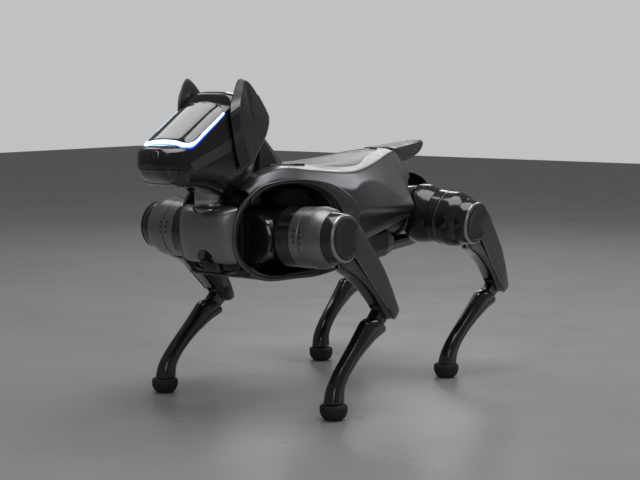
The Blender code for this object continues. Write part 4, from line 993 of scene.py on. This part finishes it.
THIGH_EDGES = (  # distance down the thigh, rear x, front x, inner y, outer y
    (0.0000, -0.0300, 0.0280, 0.0160, 0.0255), (0.0280, -0.0370, 0.0290, 0.0060, 0.0255),
    (0.0480, -0.0385, 0.0245, -0.0150, 0.0250), (0.0700, -0.0365, 0.0175, -0.0160, 0.0240),
    (0.1096, -0.0320, 0.0115, -0.0160, 0.0220), (0.1428, -0.0245, 0.0112, -0.0155, 0.0195),
    (0.1600, -0.0205, 0.0130, -0.0150, 0.0178), (0.1750, -0.0165, 0.0130, -0.0144, 0.0165),
    (0.1850, -0.0125, 0.0070, -0.0136, 0.0150), (0.1910, -0.0080, -0.0020, -0.0110, 0.0120),
)
COVER_FRONT = 0.0070  # front boundary of the outer cover
COVER_CHORD = 0.0220  # distance from the hip axis of the line between disc and cover
COVER_END = 0.1850
KNEE_CAP_START = 0.1575
COVER_HIGHLIGHT_START = -0.030


def section_arc(row, grow, *arc):
    """Points of the thigh's section, or of an arc of it, grown outward."""
    along, rear, front, inner, outer = row
    half_x, half_y = (front - rear) / 2 + grow, (outer - inner) / 2 + grow
    return [((rear + front) / 2 + a, (inner + outer) / 2 + b, -along)
            for a, b in superellipse(half_x, half_y, 3.0, *arc)]


def cover_section(row, low=0.0008, high=0.0032):
    """Inner and outer arcs that wrap the outer and rear faces of the thigh."""
    bounds = []
    for grow in (low, high):
        reach = (COVER_FRONT - (row[1] + row[2]) / 2) / ((row[2] - row[1]) / 2 + grow)
        reach = max(-0.9, min(0.9, reach))
        start = math.acos(math.copysign(abs(reach) ** 1.5, reach))
        bounds.append(section_arc(row, grow, 25, start, math.radians(196) - start))
    return bounds


def cover_loft(sections):
    return loft([inner + outer[::-1] for inner, outer in sections])


def chord_box(low, high):
    """A block on one side of the line between the disc and the cover."""
    block = box((0.30, 0.08, high - low), (0, 0.03, -(low + high) / 2))
    block.transform(Matrix.Rotation(math.atan2(0.6, 0.8), 4, "Y"))
    return block


def knee_slot():
    """Room for the shank's knuckle, open at the front and the bottom."""
    outline = [(0.0600, -0.0500), (-0.0420, -0.0500)]
    for i in range(17):
        angle = math.pi - math.radians(100) * i / 16
        outline.append((0.0190 * math.cos(angle), 0.0190 * math.sin(angle)))
    return plate([(x, z - THIGH_LENGTH) for x, z in outline + [(0.0600, 0.0400)]], -0.0084, 0.0084)


def build_drum(leg):
    """The thigh's half of the drum, with its seam ring, slot and plugs."""
    seam = DRUM_SEAM + GAP / 2
    pitch = math.degrees(STANCE[leg.which][1])
    drum = ((0, seam), (DRUM_RADIUS - 0.0008, seam), (DRUM_RADIUS, seam + 0.0008), (0.0440, -0.0100),
            (0.0437, -0.0070), (0.0415, 0.0020), (0.0376, 0.0092), (0, 0.0092))
    # painted light: the front legs' drums get the lighter chest paint and the rear legs' the black gloss, lit and
    # shaded copies of one drum finish
    leg.add("thigh", "knee_drum", turned(drum, ROUND), "chest_paint" if leg.front else "black_gloss",
            "knee_drive", sharp=30)
    leg.add("thigh", "drum_ring", seam_ring(DRUM_RADIUS, seam + 0.0016),
            "black_gloss" if leg.front else "trim_light", sharp=40)
    slot = band(DRUM_BULGE, seam + 0.003, -0.0065, lambda share: (pitch + 93 + 4 * share, pitch + 105 - 4 * share))
    leg.add("thigh", "drum_slot", slot, "black_gloss" if leg.front else "dark_cover", sharp=40)
    add_plugs(leg, "thigh", "drum_plug", seam + 0.0040, seam + 0.0065, (-8, 2, 12), pitch)


def build_thigh(leg):
    rows = smooth_curve(THIGH_EDGES, 4)
    cuts = [("UNION", rod(0.0372, 0.0100, 0.0262, 0.0330)), rod(BORE_RADIUS, -0.04, 0.0096), knee_slot()]
    leg.add("thigh", "thigh_skin", loft([section_arc(row, 0.0, 44) for row in rows]), "black_gloss",
            "thigh_shell", cuts, bevel=0.0006, segments=2, angle=40, sharp=36)
    pin = rod(0.0050, -0.0100, 0.0100)
    pin.transform(Matrix.Translation((0, 0, -THIGH_LENGTH)))
    leg.add("thigh", "knee_pin", pin, "neck_metal", mirror=False)
    for i, (low, high) in enumerate(((0.0172, 0.0190), (-0.0166, -0.0148))):
        bolt = turned(((0, low), (0.0062, low), (0.0066, (low + high) / 2), (0.0062, high), (0, high)), 40)
        bolt.transform(Matrix.Translation((-0.002, 0, -THIGH_LENGTH)))
        leg.add("thigh", "knee_bolt", bolt, "black_satin", tail=f"_{i}", bevel=0.0003, segments=2)


def build_cover(leg):
    """The outer cover with a painted highlight bead along its front, the cap behind the knee and the hip disc in a
    rim coloured light as a painted highlight.
    """
    rows = [row for row in smooth_curve(THIGH_EDGES, 4) if row[0] <= COVER_END + 1e-6]
    upper = [row for row in rows if row[0] <= KNEE_CAP_START]
    sections = [cover_section(row) for row in upper]
    cuts = [rod(BORE_RADIUS, -0.03, 0.0096), rod(0.0378, 0.0094, 0.0268, 0.0336),
            chord_box(-0.20, COVER_CHORD + GAP / 2)]
    leg.add("thigh", "cover_skin", cover_loft(sections), "dark_cover", "thigh_cover", cuts, bevel=0.0005,
            angle=40, sharp=36)
    # painted highlight: a light bead along the cover's front edge
    line = [(x + 0.0003, y + 0.0001, z) for x, y, z in (outer[0] for _, outer in sections)
            if z < COVER_HIGHLIGHT_START]
    leg.add("thigh", "cover_highlight", tube(line, 0.0005, 8), "trim_light", sharp=70)
    cap = cover_loft([cover_section(row, 0.0008, 0.0030) for row in rows[len(upper) - 1:]])
    leg.add("thigh", "knee_cap", cap, "black_gloss", bevel=0.0003, segments=2, sharp=36)
    disc = ((0, 0.0260), (0.0300, 0.0266), (0.0296, 0.0290), (0.0280, THIGH_FACE), (0.0262, THIGH_FACE),
            (0.0258, THIGH_FACE - 0.0007), (0.0120, THIGH_FACE - 0.0004), (0, THIGH_FACE - 0.0002))
    leg.add("thigh", "disc_skin", turned(disc, ROUND), "black_satin", "hip_disc",
            [chord_box(COVER_CHORD - GAP / 2, 0.20)], bevel=0.0003, segments=2, sharp=30)
    # painted highlight: the ring round the disc is in light trim to stand for the highlight on its edge
    rim = ((0.0333, 0.0256), (0.0342, 0.0250), (0.0336, 0.0270), (0.0322, 0.0283), (0.0306, 0.0284),
           (0.0304, 0.0262))
    leg.add("thigh", "disc_rim_highlight", turned_ring(rim, ROUND), "trim_light",
            cutters=[chord_box(COVER_CHORD - GAP / 2, 0.20)], sharp=40)


SHANK_EDGES = (  # (x, distance down) of the rear edge and of the front edge, then the half thickness
    (-0.0205, 0.0235, 0.0040, 0.0235, 0.0105), (-0.0235, 0.0270, 0.0140, 0.0290, 0.0120),
    (-0.0175, 0.0390, 0.0235, 0.0420, 0.0125), (-0.0110, 0.0520, 0.0248, 0.0560, 0.0122),
    (0.0005, 0.0850, 0.0262, 0.0860, 0.0112), (0.0060, 0.1130, 0.0290, 0.1120, 0.0105),
    (0.0075, 0.1360, 0.0305, 0.1400, 0.0108), (0.0045, 0.1500, 0.0280, 0.1650, 0.0115),
    (-0.0045, 0.1612, 0.0190, 0.1838, 0.0125),
)
GUARD_SHARE = 0.42  # where the guard meets the shank, as a share of the width from the rear edge
GUARD_GAP = 0.00045  # from that line to either piece
SHANK_POWER = 2.6


def shank_ring(row, rear_part):
    """A rounded section of the shank (front part) or of the guard behind it (rear part)."""
    rear_x, rear_s, front_x, front_s, half = row
    rear, front = Vector((rear_x, 0, -rear_s)), Vector((front_x, 0, -front_s))
    split = GUARD_SHARE + (-1 if rear_part else 1) * GUARD_GAP / (front - rear).length
    shares = [1 - math.cos(math.pi / 2 * i / 12) for i in range(13)]
    shares = [split * share if rear_part else 1 - (1 - split) * share for share in shares]
    upper = [(s, half * max(0.0, 1 - abs(2 * s - 1) ** SHANK_POWER) ** (1 / SHANK_POWER)) for s in shares]
    last, y = upper[-1]
    upper[-1] = (last, y * (1 - 0.0009 / half))
    ring = upper[::-1] + [(s, -y) for s, y in upper[1:]]
    return [tuple(rear.lerp(front, s) + Vector((0, y, 0))) for s, y in ring]


def tongue_outline(grow=0.0):
    """The knuckle about the knee and the neck that runs down into the shank."""
    radius = 0.0155 + grow
    points = [(0.0120 + grow, -0.0400 - grow), (-0.0080 - grow, -0.0400 - grow)]
    for i in range(25):
        angle = math.radians(200 - 250 * i / 24)
        points.append((radius * math.cos(angle), radius * math.sin(angle)))
    return points


def build_shank(leg):
    rows = smooth_curve(SHANK_EDGES, 5)
    leg.add("shank", "shank_skin", loft([shank_ring(row, False) for row in rows]), "black_gloss", "shank",
            [("UNION", plate(tongue_outline(), -0.0080, 0.0080)), rod(0.0054, -0.03, 0.03)], bevel=0.0007,
            angle=40, sharp=36)
    leg.add("shank", "guard_skin", loft([shank_ring(row, True) for row in rows]), "dark_cover", "shank_guard",
            [plate(tongue_outline(GAP), -0.0084, 0.0084)], bevel=0.0007, angle=40, sharp=36)
    splay, _, pitch = STANCE[leg.which]
    rest = Matrix.Rotation(leg.sign * splay, 3, "X") @ Matrix.Rotation(pitch, 3, "Y")
    sole = FLOOR_Z - FOOT_CENTRE_Z
    profile = ((0, sole), (0.0095, sole), (0.0128, sole + 0.0008), (0.0152, sole + 0.0026),
               (0.0174, sole + 0.0052), (0.0188, -0.0035), (0.0192, -0.0026), (0.0190, -0.0018),
               (0.0197, -0.0008), (0.0198, 0.0030), (0.0198, 0.0058), (0.0192, 0.0078), (0.0180, 0.0090),
               (0.0165, 0.0096), (0, 0.0096))
    foot = turned(profile, 72, "Z")
    foot.transform(Matrix.Translation((0, 0, -SHANK_LENGTH)) @ rest.inverted().to_4x4())
    leg.add("shank", "foot_skin", foot, "rubber", "foot", mirror=False, sharp=50)


for CORNER, SIGN, WHICH in (("fl", 1, "front"), ("fr", -1, "front"), ("rl", 1, "rear"), ("rr", -1, "rear")):
    LEG = Leg(CORNER, SIGN, WHICH)
    build_hip(LEG)
    build_drum(LEG)
    build_thigh(LEG)
    build_cover(LEG)
    build_shank(LEG)

# ---- the rest keeps its CAD shape ---------------------------------------------------------------
for NAME, NODE in frame["nodes"].items():
    wanted = [s["material_slot"] for s in frame["record"]["subparts"] if s["node"] == NAME][0]
    NODE.data.materials.clear()
    NODE.data.materials.append(LOOKS[wanted])

# ---- stage --------------------------------------------------------------------------------------


def add_stage():
    bm = bmesh.new()
    bmesh.ops.create_grid(bm, x_segments=8, y_segments=8, size=6.0)
    ground = bpy.data.objects.new("floor", mesh_of(bm))
    bpy.context.scene.collection.objects.link(ground)
    n = Nodes("floor_grey")
    n.link(n.mix(n.span(n.noise(2.5, 6.0), 0.0, 1.0), (0.40, 0.405, 0.415), (0.45, 0.455, 0.465)),
           n.shader.inputs["Base Color"])
    n.link(n.span(n.noise(9.0, 5.0), 0.26, 0.36), n.shader.inputs["Roughness"])
    ground.data.materials.append(n.material)


def add_light(name, location, target, size, power, colour=(1, 1, 1)):
    data = bpy.data.lights.new(name, "AREA")
    data.shape = "RECTANGLE"
    data.size, data.size_y = size
    data.energy = power
    data.color = colour
    obj = bpy.data.objects.new(name, data)
    obj.location = location
    obj.rotation_euler = (Vector(target) - Vector(location)).to_track_quat("-Z", "Y").to_euler()
    bpy.context.scene.collection.objects.link(obj)


def add_lights():
    """A pale backdrop that lights the room only dimly, and soft boxes above and at the sides."""
    world = bpy.data.worlds.new("studio")
    bpy.context.scene.world = world
    world.use_nodes = True
    tree = world.node_tree
    background = tree.nodes["Background"]
    background.inputs["Color"].default_value = (0.80, 0.81, 0.83, 1.0)
    path = tree.nodes.new("ShaderNodeLightPath")
    level = tree.nodes.new("ShaderNodeMapRange")
    level.inputs["To Min"].default_value = 0.16
    level.inputs["To Max"].default_value = 0.66
    tree.links.new(path.outputs["Is Camera Ray"], level.inputs["Value"])
    tree.links.new(level.outputs["Result"], background.inputs["Strength"])
    add_light("overhead", (-0.1, 0.1, 2.2), (0, 0, 0.2), (1.6, 1.4), 21)
    add_light("over_visor", (-0.45, -1.45, 1.90), (0.3, 0, 0.42), (0.5, 0.9), 2.6)
    add_light("behind_crest", (-1.95, -1.25, 1.25), (0, 0, 0.35), (0.8, 0.8), 4.5)
    add_light("behind_left", (-1.8, 0.85, 1.55), (0, 0, 0.3), (1.0, 1.0), 9)
    add_light("front_left", (2.0, 2.2, 1.5), (0, 0, 0.25), (0.8, 1.4), 7)


def add_camera():
    yaw, pitch = 3.778, -0.107
    forward = Vector((math.cos(yaw) * math.cos(pitch), math.sin(yaw) * math.cos(pitch), math.sin(pitch)))
    data = bpy.data.cameras.new("camera")
    data.lens, data.sensor_width = 85, 36
    obj = bpy.data.objects.new("camera", data)
    obj.location = Vector((1.866, 1.381, 0.486)) + ORIGIN_SHIFT
    obj.rotation_euler = forward.to_track_quat("-Z", "Y").to_euler()
    bpy.context.scene.collection.objects.link(obj)
    bpy.context.scene.camera = obj


add_stage()
add_lights()
add_camera()
bpy.context.scene.view_settings.view_transform = "Standard"
